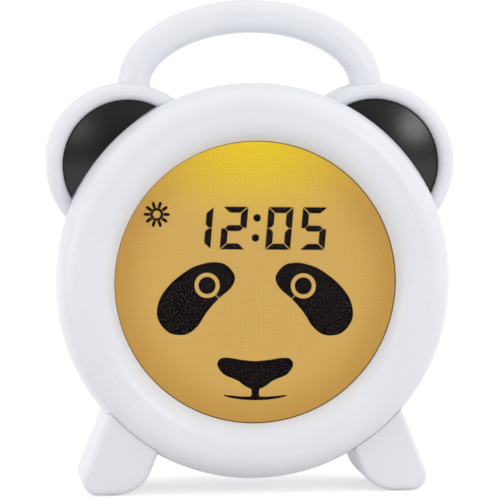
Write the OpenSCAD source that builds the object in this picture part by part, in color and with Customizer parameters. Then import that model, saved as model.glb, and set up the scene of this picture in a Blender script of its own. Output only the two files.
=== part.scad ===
// Children's alarm clock with a round lit display, ears, a carry handle and two legs.
// X runs to the right, Y from the front to the back, Z up; the table is at Z = 0.
// Every module places its own piece in the assembled clock.

/* [Case] */
// Diameter of the round front bezel
case_d = 127; // [122:1:140]
// Depth of the case, from the bead of the bezel to the flat back
case_depth = 50.8; // [49:0.2:62]
// Gap between the bottom of the case and the table
case_lift = 4.2; // [3.8:0.1:12]
// Wall of the moulded shells
wall = 2.2; // [1.8:0.1:2.6]
// Depth of the front bezel moulding
bezel_depth = 15; // [14:0.5:18]
// Depth of the middle moulding
mid_depth = 14; // [12:0.5:16]
// How much smaller the middle moulding is behind the bezel, on the radius
bezel_step = 0.6; // [0.3:0.1:1.2]
// How much the middle moulding narrows to the rear split, on the radius
mid_taper = 2.9; // [1:0.1:4]
// Draft of the rear cover's side
cover_draft = 8; // [2:1:12]
// Radius between the rear cover's side and its flat back
cover_corner_r = 8; // [5:0.5:8]
// Clearance between a shell and what drops into it
fit_gap = 0.3; // [0.2:0.05:0.4]

/* [Bezel profile] */
// Distance of the widest ring of the bezel behind its front
widest_back = 13; // [11:0.5:14]
// Radius of the bezel's outer side in section
side_arc_r = 25; // [20:1:32]
// Radius of the bead's outer crest in section
crest_arc_r = 7; // [5:0.5:8]
// Radius of the bead's inner crest in section
inner_crest_r = 6; // [5:0.5:10]
// Distance from the rim of the bezel to its crease, on the radius
crease_in = 9.2; // [8:0.2:10.4]
// Radius of the roll from the crease down to the display, in section
roll_arc_r = 9.5; // [9:0.5:13]
// Depth of the display opening's edge behind the front of the bead
opening_back = 5.8; // [5.4:0.2:7]
// Width of the ring around the display opening, on the radius
ring_w = 18.3; // [17.9:0.1:19.5]
// Thickness of the lip in front of the lens
lip_t = 1.2; // [0.9:0.1:1.6]

/* [Ears] */
// Distance of an ear's centre inside the rim of the case
ear_in = 9; // [7:0.2:12]
// Angle of the ears' centres above the horizontal, seen from the case's centre
ear_turn = 43; // [41:0.5:46]
// Radius of an ear
ear_r = 26; // [24:0.2:28]
// Radius of the rolled rim in section
ear_rim_r = 2.6; // [2.2:0.1:3]
// Radius of the black insert
insert_r = 20.2; // [18:0.2:20.4]
// Height of the insert's edge above the pocket
insert_edge = 1.4; // [1:0.1:2]
// Height of the insert's dome above its edge
insert_dome = 3.4; // [2:0.2:5]
// Depth of the ear's back behind the rear split
ear_back = 4.6; // [4:0.2:7]

/* [Handle] */
// Distance of the handle's roots inside the ears' centres
handle_in = 2.4; // [1.6:0.2:4]
// Rise of the handle's centre line above its roots
handle_rise = 22.4; // [20:0.2:28]
// Depth of the handle's roots below the top of the case
handle_drop = 1.5; // [0:0.5:2.5]
// Width of the handle's bar
handle_w = 10.5; // [9:0.5:11]
// Depth of the handle's bar
handle_depth = 12; // [11:0.5:12]

/* [Legs] */
// Distance of the foot's inner side from the middle
leg_in = 36.6; // [34:0.2:40]
// Distance of the foot's outer side from the middle
leg_out = 57.5; // [55:0.5:62]
// Lean of the leg's sides from the vertical
leg_lean = 21.5; // [16:0.5:24]
// Distance of the leg's front face behind the front of the bead
leg_set_back = 4.5; // [3:0.5:8]
// Depth of a leg
leg_depth = 33.5; // [30:0.5:36]
// Radius of the foot's inner corner
foot_in_r = 12; // [8:0.5:13]
// Radius of the foot's outer corner
foot_out_r = 6.5; // [5:0.5:7.5]
// Radius of the leg's front edge
leg_edge_r = 1.8; // [1:0.2:2.4]
// Clearance between a leg and the case that it is screwed to
seat_gap = 0.12; // [0.1:0.02:0.3]
// Diameter of a foot pad
pad_d = 6; // [5:0.2:7]
// How far a foot pad stands out of the leg
pad_proud = 0.3; // [0.3:0.1:0.8]

/* [Display] */
// How far the clear lens runs behind the edge of the opening
lens_lap = 3.3; // [2.8:0.1:3.6]
// Thickness of the clear lens
lens_t = 1.5; // [1:0.1:2]
// Thickness of one glass of the display
glass_t = 1.1; // [0.7:0.1:1.1]
// Thickness of the diffuser sheet
diffuser_t = 0.5; // [0.3:0.1:0.6]
// Thickness of the light guide
guide_t = 3; // [2:0.2:3]
// Thickness of the reflector sheet
reflector_t = 0.3; // [0.2:0.1:0.4]
// Thickness of a circuit board
board_t = 1.6; // [1:0.2:1.6]

/* [Batteries] */
// Diameter of a battery cell
cell_d = 14.2; // [13.5:0.1:14.5]
// Length of a battery cell with its nub
cell_len = 50.4; // [49.5:0.1:50.6]
// Gap between neighbouring cells
cell_gap = 1; // [0.6:0.1:1.4]
// Length of a compressed contact spring
spring_len = 4.8; // [4:0.2:5.2]
// Height of the battery bay's middle above the case's centre
bay_up = -11.5; // [-12:0.1:-11]
// Opening angle that the door is drawn at
door_angle = 0; // [0:5:80]

/* [Keys and sockets] */
// Diameter of a key cap
key_d = 8; // [6:0.2:9]
// How far the keys stand out of the back
key_proud = 1.2; // [0.8:0.1:2]
// Distance of the two key columns from the middle
key_x = 37.5; // [36:0.5:38]
// Distance between the keys of a column
key_pitch = 14; // [14:0.5:15]
// Height of the top key above the case's centre
key_up = 20; // [18:0.5:21]
// Travel of the slide switch
slide_travel = 3; // [2:0.5:4]
// Outer diameter of the speaker
speaker_d = 26; // [22:0.5:26]
// Height of the speaker above the case's centre
speaker_up = 37.5; // [37:0.5:38]

/* [Hidden] */
$fn = 96;
eps = 0.01;

// Depths, from the front to the back
front_y = -(case_depth + key_proud) / 2;
bezel_back = front_y + bezel_depth;
split = bezel_back + mid_depth;
back_y = front_y + case_depth;
back_in = back_y - wall;
flange_t = 2;
flange_back = bezel_back + flange_t;

// Heights and radii of the case
case_r = case_d / 2;
case_z = case_lift + case_r;
mid_front_r = case_r - bezel_step;
mid_back_r = mid_front_r - mid_taper;

// Bezel section, as [radius, depth]
side_c = [case_r - side_arc_r, front_y + widest_back];
crest_cy = front_y + crest_arc_r;
crest_dy = side_c.y - crest_cy;
crest_c = [side_c.x + sqrt(pow(side_arc_r - crest_arc_r, 2) - crest_dy * crest_dy), crest_cy];
inner_crest_c = [crest_c.x, front_y + inner_crest_r];
crease_r = case_r - crease_in;
crease_y = inner_crest_c.y - sqrt(pow(inner_crest_r, 2) - pow(crest_c.x - crease_r, 2));
opening_r = case_r - ring_w;
opening_y = front_y + opening_back;
roll_c = arc_centre([crease_r, crease_y], [opening_r, opening_y], roll_arc_r);

// Display stack
lens_y = opening_y + lip_t;
lens_r = opening_r + lens_lap;
pocket_r = lens_r + fit_gap;
layer_gap = 0.1;
front_glass_y = lens_y + lens_t + layer_gap;
rear_glass_y = front_glass_y + glass_t;
diffuser_y = rear_glass_y + glass_t + layer_gap;
guide_y = diffuser_y + diffuser_t + layer_gap;
reflector_y = guide_y + guide_t + layer_gap / 2;
frame_floor_y = reflector_y + reflector_t + layer_gap / 2;
frame_floor_t = 0.9;
frame_back = frame_floor_y + frame_floor_t;
standoff_h = 1;
board_y = frame_back + standoff_h;
board_back = board_y + board_t;
stack_r = lens_r - 0.1;
frame_in_r = stack_r + 0.8;
frame_out_r = frame_in_r + 3.3;
frame_screw_r = (frame_in_r + frame_out_r) / 2;
flange_in_r = frame_out_r + 0.7;
board_tab_r = flange_in_r - fit_gap - frame_screw_r;
guide_top = opening_r + 0.5;
guide_low = -opening_r - 0.2;
ledge_low = -stack_r + 0.3;
strip_high = guide_low - 0.3;
strip_low = strip_high - 1.4;
strip_half = sqrt(stack_r * stack_r - strip_low * strip_low) - 0.6;

// Screws: shank and head radii, the gap of a shank in its pilot hole and in its clearance hole,
// and the gap around a piece that is pushed into its seat
screw_r = 1.2;
screw_head_r = 2.4;
screw_head_h = 1.2;
pilot_gap = 0.05;
pass_gap = 0.3;
push_fit = 0.15;
small_screw_r = 0.8;
board_screw_r = 0.9;
boss_r = 2.6;
rib_t = 0.8;
boss_gap = 0.4;
boss_ring_r = case_r - wall - fit_gap - rib_t - boss_gap - boss_r;
boss_root_y = front_y + wall - 0.2;
bezel_screw_angles = [for (i = [0:3]) 22.5 + 90 * i];
frame_screw_angles = [for (i = [0:3]) 67.5 + 90 * i];
cover_screw_angles = [for (i = [0:3]) 45 + 90 * i];
cover_screw_ring = case_r - 11;
cover_post_r = 4.2;
cover_well_r = 2.9;
cover_seat_t = 2.5;
frame_lug_t = 1.6;
frame_lug_y = bezel_back - 3;

// Ears
ear_front = bezel_back + 0.2;
ear_floor_y = ear_front + ear_rim_r + 0.1;
ear_floor_t = 1.5;
ear_hollow_y = ear_floor_y + ear_floor_t;
ear_x = (case_r - ear_in) * cos(ear_turn);
ear_z = case_z + (case_r - ear_in) * sin(ear_turn);

// Handle
handle_z = case_z + case_r - handle_drop;
handle_y = split - 0.6 - handle_depth / 2;
bar_r = handle_w / 2;
bar_flat = handle_depth / 2 - bar_r;
root_x = ear_x - handle_in;
root_low = ear_z + sqrt(pow(ear_r - wall - 0.6, 2) - pow(ear_x - root_x, 2));
tang_w = 8.4;
tang_front = ear_hollow_y + 1.1;
tang_back = split - 1.5;
eyelet_z = case_z + sqrt(pow(mid_front_r + tang_w / 2 + 0.5, 2) - root_x * root_x);
eyelet_post_r = 1.6;

// Legs
leg_front = front_y + leg_set_back;
leg_rear = leg_front + leg_depth;
leg_rear_r = foot_out_r - 0.5;
leg_low = pad_proud;
leg_top = case_z - case_r / 2;
leg_shift = tan(leg_lean);
leg_drift = (leg_top - leg_low) * leg_shift;
leg_corners = [
    [leg_in, leg_low], [leg_out, leg_low], [leg_out - leg_drift, leg_top], [leg_in - leg_drift, leg_top]
];
leg_rounds = [foot_in_r, foot_out_r, leg_rear_r + 1, leg_rear_r + 1];
leg_turns = [10, 13, 2, 2];
pad_t = 1.1;
pad_x = (corner_centre(leg_corners, 0, foot_in_r).x + corner_centre(leg_corners, 1, foot_out_r).x) / 2;
pad_ys = [leg_front + leg_edge_r + pad_d / 2 + 1.5, leg_rear - leg_rear_r - pad_d / 2];

// Screw of a leg, which points from the case's axis to the leg's middle
leg_screw_up = 8;
leg_screw_x = (leg_in + leg_out) / 2 - leg_screw_up * leg_shift;
leg_screw_turn = atan2(leg_screw_x, case_z - leg_low - leg_screw_up);
leg_screw_y = (flange_back + split) / 2;
leg_screw_len = 10;
seat_boss_r = 3.2;
leg_seat_r = drum_r(leg_screw_y + seat_boss_r) - wall - 0.4;

// Battery bay, as [left, right] and [low, high] about the case's centre
contact_t = 0.4;
bay_wall = 1.8;
cell_pitch = cell_d + cell_gap;
bay_half = cell_pitch + cell_d / 2 + 0.7;
bay_len = cell_len + spring_len + 2 * contact_t;
bay_low = bay_up - bay_len / 2;
bay_high = bay_up + bay_len / 2;
cell_y = back_in - 0.6 - cell_d / 2;
bay_floor = cell_y - cell_d / 2 - 0.3;
nub_h = 1.2;
nub_r = 2.75;
door_margin = 2.2;
door_half = bay_half + door_margin;
door_low = bay_low - 2.4;
door_high = bay_high + 1.9;
door_corner_r = 2.5;
door_screw_z = bay_high + bay_wall + 1.5;
door_tongue_r = 3.6;
ledge_t = 1.5;
hook_x = 14;
hook_w = 7;
hook_drop = 2.5;
hook_y = back_in - 1.8;

// Keys, switch and socket
key_r = key_d / 2;
key_flange_r = key_r + 0.9;
key_flange_t = 1;
key_flange_y = back_in - fit_gap - key_flange_t;
key_travel = 0.6;
plunger_r = 1.7;
switch_w = 6;
switch_h = 3.6;
key_board_back = key_flange_y - key_travel - 0.5 - switch_h;
plunger_y = key_board_back + 1.9;
key_board_y = key_board_back - board_t;
switch_top = key_board_back + switch_h;
key_rows = [key_up, key_up - key_pitch, key_up - 2 * key_pitch];
key_board_half = 6.5;
key_board_high = key_up + 6;
key_board_low = key_up - 3 * key_pitch - 5;
usb_z = key_up - 2 * key_pitch - 13;
usb_w = 8.9;
usb_h = 3.3;
usb_shell = 0.35;
slide_z = key_rows[2] - 2;
slide_rest = slide_z - slide_travel / 2;
slide_body_x = 4.4;
slide_body_z = 9.6;
slide_body_h = 3.8;
knob_x = 4;
knob_z = 5.2;
stem_x = 1.4;
stem_z = 1.6;
key_post_r = key_pitch / 2 - key_flange_r - fit_gap;
socket_spots = [[8, 27], [-16, 24], [-31, 0], [31, 0]];
socket_back = board_back + 5;
key_post_high = key_up - key_pitch / 2;
key_posts = [
    [-key_x, key_post_high], [-key_x, key_rows[2] - 7],
    [key_x, key_post_high], [key_x, slide_z - slide_body_z / 2 - 3.2]
];
speaker_r = speaker_d / 2;

white_abs = "#eceef2";
black_abs = "#1d1d1f";
smoke_key = "#d9dbe0";
glass_tint = [0.86, 0.9, 0.92, 0.4];
amber = "#e6b84a";
board_green = "#2f6b43";
steel = "#b9bcc1";
black_resin = "#222225";
pad_grey = "#c9cbd0";

// ---------- helpers ----------

function unit(v) = v / norm(v);
function left_of(v) = [-v.y, v.x];
function drum_r(y) = mid_front_r - (y - bezel_back) * mid_taper / mid_depth;
function polar(r, a) = [r * cos(a), r * sin(a)];

// Centre of the arc of radius r through p and q that bulges to smaller depth
function arc_centre(p, q, r) =
    let (half = norm(q - p) / 2, across = left_of(unit(p - q)))
    (p + q) / 2 + across * sqrt(r * r - half * half);

// Centre of the round that fits corner i of the counter-clockwise outline p
function corner_centre(p, i, r) =
    let (
        n = len(p),
        a = left_of(unit(p[i] - p[(i + n - 1) % n])),
        b = left_of(unit(p[(i + 1) % n] - p[i]))
    )
    p[i] + (a + b) * r / (1 + a * b);

// Points of an outline with corner i turned in turns[i] steps, drawn smaller by inset
function round_points(p, radii, turns, inset) = [
    for (i = [0:len(p) - 1])
    let (
        n = len(p),
        before = -left_of(unit(p[i] - p[(i + n - 1) % n])),
        after = -left_of(unit(p[(i + 1) % n] - p[i])),
        sweep = acos(before * after)
    )
    for (k = [0:turns[i]])
    corner_centre(p, i, radii[i])
        + polar(radii[i] - inset, atan2(before.y, before.x) + sweep * k / turns[i])
];

// Convex outline with true round corners, drawn smaller by inset
module rounded(p, radii, inset = 0) {
    n = len(p);
    centres = [for (i = [0:n - 1]) corner_centre(p, i, max(radii[i], inset))];
    sides = [for (i = [0:n - 1]) left_of(unit(p[(i + 1) % n] - p[i]))];
    rounds = [for (i = [0:n - 1]) max(radii[i], inset) - inset];
    polygon([for (i = [0:n - 1]) each [
        centres[i] - sides[(i + n - 1) % n] * rounds[i],
        centres[i] - sides[i] * rounds[i]
    ]]);
    for (i = [0:n - 1])
        if (rounds[i] > 0)
            translate(centres[i])
                circle(rounds[i]);
}

// Rectangle from a to b with one corner radius
module rounded_box(a, b, r) {
    rounded([[a.x, a.y], [b.x, a.y], [b.x, b.y], [a.x, b.y]], [r, r, r, r]);
}

// Slot outline, w across and h high, with round ends
module stadium(w, h) {
    square([w - h, h], center = true);
    for (side = [-1, 1])
        translate([side * (w - h) / 2, 0])
            circle(h / 2);
}

// Puts a piece at x across and z above the case's centre, its own Z running to the back
module at(x, z, y) {
    translate([x, y, case_z + z])
        rotate([-90, 0, 0])
            children();
}

// Turns a [radius, depth] section about the case's axis
module turned() {
    at(0, 0, 0)
        rotate_extrude()
            children();
}

// Extrudes an outline, drawn across and up from the case's centre, between two depths
module slab(y0, y1) {
    translate([0, y1, case_z])
        rotate([90, 0, 0])
            linear_extrude(y1 - y0)
                children();
}

module both_sides() {
    for (side = [0, 1])
        mirror([side, 0, 0])
            children();
}

// Children at each angle on a ring about the case's axis
module ring(radius, angles, y) {
    for (a = angles)
        at(radius * cos(a), radius * sin(a), y)
            children();
}

// Solid skin over a list of rings, each turning right-handed about the way the list runs
module skin(rings) {
    sides = len(rings[0]);
    last = len(rings) - 1;
    polyhedron(
        [for (r = rings) each r],
        concat(
            [for (i = [0:last - 1])
                for (k = [0:sides - 1])
                let (p = i * sides + k, q = i * sides + (k + 1) % sides)
                each [[p, p + sides, q], [q, p + sides, q + sides]]],
            [[for (k = [0:sides - 1]) k]],
            [[for (k = [sides - 1:-1:0]) last * sides + k]]
        )
    );
}

// Point and direction at t along the curve that leaves a towards da and reaches b from db
function curve_point(a, da, b, db, t) =
    a * pow(1 - t, 3) + 3 * (a + da) * t * pow(1 - t, 2) + 3 * (b + db) * t * t * (1 - t) + b * pow(t, 3);
function curve_way(a, da, b, db, t) =
    unit(da * pow(1 - t, 2) + (b + db - a - da) * 2 * t * (1 - t) - db * t * t);

// Round wire of radius r along that curve
module wire(a, da, b, db, r) {
    sides = 8;
    steps = 10;
    skin([for (i = [0:steps])
        let (
            c = curve_point(a, da, b, db, i / steps),
            way = curve_way(a, da, b, db, i / steps),
            across = unit(cross(way, [0.3, 0.1, 0.95])),
            up = cross(way, across)
        )
        [for (k = [0:sides - 1])
            let (turn = 360 * (k + 0.5) / sides)
            c + (across * cos(turn) + up * sin(turn)) * r]
    ]);
}

// Pan-head screw: the head stands on Z = 0 and the shank runs to -Z
module screw(r, length, head_r, head_h) {
    translate([0, 0, -length])
        cylinder(r = r, h = length);
    difference() {
        cylinder(r = head_r, h = head_h);
        for (turn = [0, 90])
            rotate(turn)
                translate([-head_r * 0.55, -0.3, head_h - 0.6])
                    cube([head_r * 1.1, 0.6, 1]);
    }
}

// ---------- front bezel ----------

// Section of the bezel's outer form, drawn t inside its skin and down to depth y1
module bezel_form(t, y1) {
    ahead = front_y - 1;
    reach = side_arc_r + 3;
    ray = side_c + unit(crest_c - side_c) * reach;
    intersection() {
        translate(side_c)
            circle(side_arc_r - t);
        polygon([crest_c, ray, [case_r + 3, ray.y], [case_r + 3, y1], [crest_c.x, y1]]);
    }
    intersection() {
        translate(crest_c)
            circle(crest_arc_r - t);
        polygon([crest_c, [crest_c.x, ahead], [ray.x, ahead], ray]);
    }
    intersection() {
        union() {
            translate(inner_crest_c)
                circle(inner_crest_r - t);
            translate([crease_r, inner_crest_c.y])
                square([crest_c.x - crease_r, y1 - inner_crest_c.y]);
        }
        translate([crease_r, ahead])
            square([crest_c.x - crease_r, y1 - ahead]);
    }
    intersection() {
        union() {
            translate(roll_c)
                circle(roll_arc_r - t);
            translate([opening_r, opening_y + t])
                square([crease_r - opening_r, y1 - opening_y]);
        }
        translate([opening_r, ahead])
            square([crease_r - opening_r, y1 - ahead]);
    }
}

module front_bezel() {
    color(white_abs)
        difference() {
            union() {
                turned()
                    difference() {
                        bezel_form(0, bezel_back);
                        intersection() {
                            bezel_form(wall, bezel_back + 1);
                            translate([pocket_r - eps, front_y])
                                square([case_r, case_depth]);
                        }
                        translate([0, lens_y])
                            square([pocket_r, bezel_depth]);
                    }
                ring(boss_ring_r, bezel_screw_angles, boss_root_y)
                    cylinder(r = boss_r, h = bezel_back - boss_root_y);
                ring(boss_ring_r, frame_screw_angles, boss_root_y)
                    cylinder(r = boss_r, h = frame_lug_y - boss_root_y);
            }
            ring(boss_ring_r, bezel_screw_angles, bezel_back - 8)
                cylinder(r = screw_r + pilot_gap, h = 9);
            ring(boss_ring_r, frame_screw_angles, frame_lug_y - 7)
                cylinder(r = screw_r + pilot_gap, h = 8);
        }
}

// ---------- ears ----------

module ear_axis() {
    translate([ear_x, 0, ear_z])
        rotate([-90, 0, 0])
            children();
}

module ear_shell_front() {
    ear_axis()
        rotate_extrude()
            union() {
                translate([ear_r - ear_rim_r, ear_front + ear_rim_r])
                    circle(ear_rim_r);
                translate([0, ear_floor_y])
                    square([ear_r - 0.5, ear_floor_t]);
                translate([ear_r - wall, ear_front + ear_rim_r])
                    square([wall, split - ear_front - ear_rim_r]);
            }
}

// Section of the ear's back, drawn t inside its skin
module ear_back_form(t) {
    round_r = 3.6;
    intersection() {
        union() {
            translate([ear_r - round_r, split + ear_back - round_r])
                circle(round_r - t);
            translate([0, split])
                square([ear_r - round_r, ear_back - t]);
            translate([0, split])
                square([ear_r - t, ear_back - round_r]);
        }
        translate([0, split])
            square([ear_r, ear_back]);
    }
}

module ear_shell_back() {
    ear_axis()
        rotate_extrude()
            difference() {
                ear_back_form(0);
                translate([0, -eps])
                    ear_back_form(wall);
            }
}

module ear_insert() {
    edge_y = ear_floor_y - insert_edge;
    dome_r = (insert_r * insert_r + insert_dome * insert_dome) / (2 * insert_dome);
    difference() {
        ear_axis()
            rotate_extrude()
                intersection() {
                    union() {
                        translate([0, edge_y - insert_dome + dome_r])
                            circle(dome_r);
                        translate([0, edge_y])
                            square([insert_r, insert_edge]);
                    }
                    translate([0, edge_y - insert_dome])
                        square([insert_r, insert_dome + insert_edge]);
                }
        at(0, 0, front_y)
            cylinder(r = case_r + fit_gap, h = case_depth);
    }
}

module left_ear_insert() {
    color(black_abs)
        mirror([1, 0, 0])
            ear_insert();
}

module right_ear_insert() {
    color(black_abs)
        ear_insert();
}

// ---------- legs ----------

function leg_points(inset) = round_points(leg_corners, leg_rounds, leg_turns, inset);

// Part of a leg between two depths, drawn inset inside its sides
module leg_slab(y0, y1, inset) {
    slab(y0, y1)
        translate([0, -case_z])
            polygon(leg_points(inset));
}

// Outer form of a leg, from its rounded rear edge to its rounded front edge
module leg_form() {
    rear = [for (a = [90:-11.25:0]) [leg_rear - leg_rear_r * (1 - sin(a)), leg_rear_r * (1 - cos(a))]];
    front = [for (a = [0:18:90]) [leg_front + leg_edge_r * (1 - sin(a)), leg_edge_r * (1 - cos(a))]];
    skin([for (station = concat(rear, front))
        [for (p = leg_points(station[1])) [p.x, station[0], p.y]]
    ]);
}

// Section of the case where the legs stand against it, grown by the seat's clearance
module saddle_section() {
    ahead = leg_front - 1;
    behind = leg_rear + 1;
    cover_r = mid_back_r - (behind - split) * tan(cover_draft);
    intersection() {
        union() {
            translate(side_c)
                circle(side_arc_r + seat_gap);
            translate([0, ahead])
                square([side_c.x, bezel_back - ahead]);
        }
        translate([0, ahead])
            square([case_r + 1, bezel_back - ahead]);
    }
    polygon([
        [0, bezel_back - eps], [mid_front_r + seat_gap, bezel_back - eps], [mid_back_r + seat_gap, split],
        [cover_r + seat_gap, behind], [0, behind]
    ]);
}

// Children on the axis of the leg's screw, Z running back to the case's axis
module leg_screw_axis() {
    translate([0, leg_screw_y, case_z])
        rotate([0, -leg_screw_turn, 0])
            children();
}

// Boss for the screw and the rib that ties it to the front and the rear of the leg
module leg_boss() {
    rib = 1.4;
    intersection() {
        union() {
            leg_screw_axis()
                translate([0, 0, -case_d])
                    cylinder(r = boss_r + 0.4, h = case_r);
            slab(leg_front, leg_rear)
                rotate(leg_screw_turn - 90)
                    translate([case_r / 2, -rib / 2])
                        square([case_r, rib]);
        }
        leg_slab(leg_front + leg_edge_r / 2, leg_rear - leg_rear_r / 2, 1);
    }
}

module leg() {
    difference() {
        union() {
            difference() {
                leg_form();
                leg_slab(leg_front + wall, leg_rear - 1.5 * wall, wall);
            }
            leg_boss();
        }
        turned()
            saddle_section();
        leg_screw_axis()
            translate([0, 0, -leg_seat_r - leg_screw_len - 1])
                cylinder(r = screw_r + pilot_gap, h = leg_screw_len + 1);
        for (y = pad_ys)
            translate([pad_x, y, leg_low - 1])
                cylinder(r = pad_d / 2 + push_fit, h = 1 + pad_t - pad_proud);
    }
}

module left_leg() {
    color(white_abs)
        mirror([1, 0, 0])
            leg();
}

module right_leg() {
    color(white_abs)
        leg();
}

module leg_screws() {
    color(steel)
        both_sides()
            leg_screw_axis()
                translate([0, 0, -leg_seat_r])
                    screw(screw_r, leg_screw_len, screw_head_r, screw_head_h);
}

module foot_pads() {
    color(pad_grey)
        both_sides()
            for (y = pad_ys)
                translate([pad_x, y, 0])
                    cylinder(d = pad_d, h = pad_t);
}

// ---------- middle moulding ----------

// The slot that each root of the handle drops into, open at the split
module handle_slot() {
    translate([root_x, 0, root_low - 1])
        linear_extrude(2 * ear_r) {
            translate([0, handle_y - bar_flat])
                circle(bar_r + push_fit);
            translate([-bar_r - push_fit, handle_y - bar_flat])
                square([2 * (bar_r + push_fit), split - handle_y + bar_flat + 1]);
        }
}

module mid_housing() {
    rib_out = case_r - wall - fit_gap;
    color(white_abs)
        difference() {
            union() {
                turned()
                    polygon([
                        [flange_in_r, bezel_back], [mid_front_r, bezel_back], [mid_back_r, split],
                        [mid_back_r - wall, split], [drum_r(flange_back) - wall, flange_back],
                        [flange_in_r, flange_back]
                    ]);
                turned()
                    translate([rib_out - rib_t, bezel_back - 2])
                        square([rib_t, 2 + flange_t / 2]);
                difference() {
                    both_sides()
                        ear_shell_front();
                    at(0, 0, bezel_back)
                        cylinder(r1 = mid_front_r - 1, r2 = mid_back_r - 1, h = mid_depth);
                }
                ring(cover_screw_ring, cover_screw_angles, flange_back - 1)
                    cylinder(r = 3.1, h = split - flange_back + 1);
                both_sides()
                    translate([root_x, ear_hollow_y - 0.5, eyelet_z])
                        rotate([-90, 0, 0])
                            cylinder(r = eyelet_post_r, h = tang_back - 0.2 - ear_hollow_y + 0.5);
                both_sides()
                    leg_screw_axis()
                        translate([0, 0, -leg_seat_r - wall])
                            cylinder(r = seat_boss_r, h = wall);
            }
            at(0, 0, bezel_back)
                cylinder(r = flange_in_r, h = frame_back + fit_gap - bezel_back);
            ring(boss_ring_r, bezel_screw_angles, bezel_back - 3)
                cylinder(r = screw_r + pass_gap, h = 3 + 2 * flange_t);
            ring(cover_screw_ring, cover_screw_angles, flange_back + 1)
                cylinder(r = screw_r + pilot_gap, h = mid_depth);
            both_sides() {
                handle_slot();
                leg_screw_axis()
                    translate([0, 0, -case_r])
                        cylinder(r = screw_r + pass_gap, h = case_r - leg_seat_r + 2);
                translate([root_x, tang_back - 6, eyelet_z])
                    rotate([-90, 0, 0])
                        cylinder(r = small_screw_r + pilot_gap, h = 8);
            }
        }
}

// ---------- rear cover ----------

// Section of the cover's outer form, drawn t inside its skin
module cover_form(t) {
    arc_y = back_y - cover_corner_r;
    arc_x = mid_back_r - (arc_y - split) * tan(cover_draft) - cover_corner_r / cos(cover_draft);
    arc_r = cover_corner_r - t;
    side = [cos(cover_draft), sin(cover_draft)];
    polygon([
        [0, split], [mid_back_r - t / cos(cover_draft), split], [arc_x, arc_y] + side * arc_r,
        [arc_x, arc_y], [arc_x, arc_y + arc_r], [0, arc_y + arc_r]
    ]);
    intersection() {
        translate([arc_x, arc_y])
            circle(arc_r);
        translate([arc_x, arc_y])
            square(cover_corner_r);
    }
}

// Front view of the battery door, grown by gap
module door_outline(gap) {
    rounded_box([-door_half - gap, door_low - gap], [door_half + gap, door_high + gap], door_corner_r + gap);
    translate([0, door_screw_z])
        circle(door_tongue_r + gap);
    translate([-door_tongue_r - gap, door_high - 2])
        square([2 * (door_tongue_r + gap), door_screw_z - door_high + 2]);
}

// Walls and floor of the battery bay, with the ledge that the door lies on
module bay_walls() {
    difference() {
        union() {
            slab(bay_floor - bay_wall, back_in + eps)
                rounded_box(
                    [-bay_half - bay_wall, bay_low - bay_wall],
                    [bay_half + bay_wall, bay_high + bay_wall],
                    1.5
                );
            slab(back_in - ledge_t - 0.2, back_in + eps)
                rounded_box([-door_half - 2, door_low - 2.2], [door_half + 2, door_high + 2], 2);
            at(0, door_screw_z, back_in - 9)
                cylinder(r = 3, h = 9);
        }
        slab(bay_floor, back_y)
            translate([-bay_half, bay_low])
                square([2 * bay_half, bay_len]);
        slab(back_in - 0.2, back_y)
            door_outline(fit_gap);
        at(0, door_screw_z, back_in - 7)
            cylinder(r = 1.8, h = 8);
        for (side = [-1, 1])
            slab(hook_y - 1.2, back_in + eps)
                translate([side * hook_x - hook_w / 2 - 0.5, door_low - hook_drop - 0.6])
                    square([hook_w + 1, bay_low - door_low + hook_drop + 1.8]);
    }
}

// Ring of sound holes behind each other ring of the speaker's grille
module grille_holes() {
    at(0, speaker_up, back_in - 1) {
        cylinder(r = 1.1, h = wall + 2);
        for (ring_no = [1, 2])
            for (i = [0:6 * ring_no - 1])
                translate(polar(4.2 * ring_no, i * 60 / ring_no))
                    cylinder(r = 1.1, h = wall + 2);
    }
}

module cover_openings() {
    slab(back_in - 0.2, back_y + 1)
        door_outline(fit_gap);
    for (z = key_rows)
        at(-key_x, z, back_in - 1)
            cylinder(r = key_r + fit_gap, h = wall + 2);
    for (z = [key_rows[0], key_rows[1]])
        at(key_x, z, back_in - 1)
            cylinder(r = key_r + fit_gap, h = wall + 2);
    slab(back_in - 1, back_y + 1)
        translate([key_x, slide_z])
            square([knob_x + 2 * fit_gap, knob_z + slide_travel + 2 * fit_gap], center = true);
    slab(back_in - 1, back_y + 1)
        translate([-key_x, usb_z])
            stadium(usb_w + 0.6, usb_h + 0.6);
    grille_holes();
}

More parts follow.
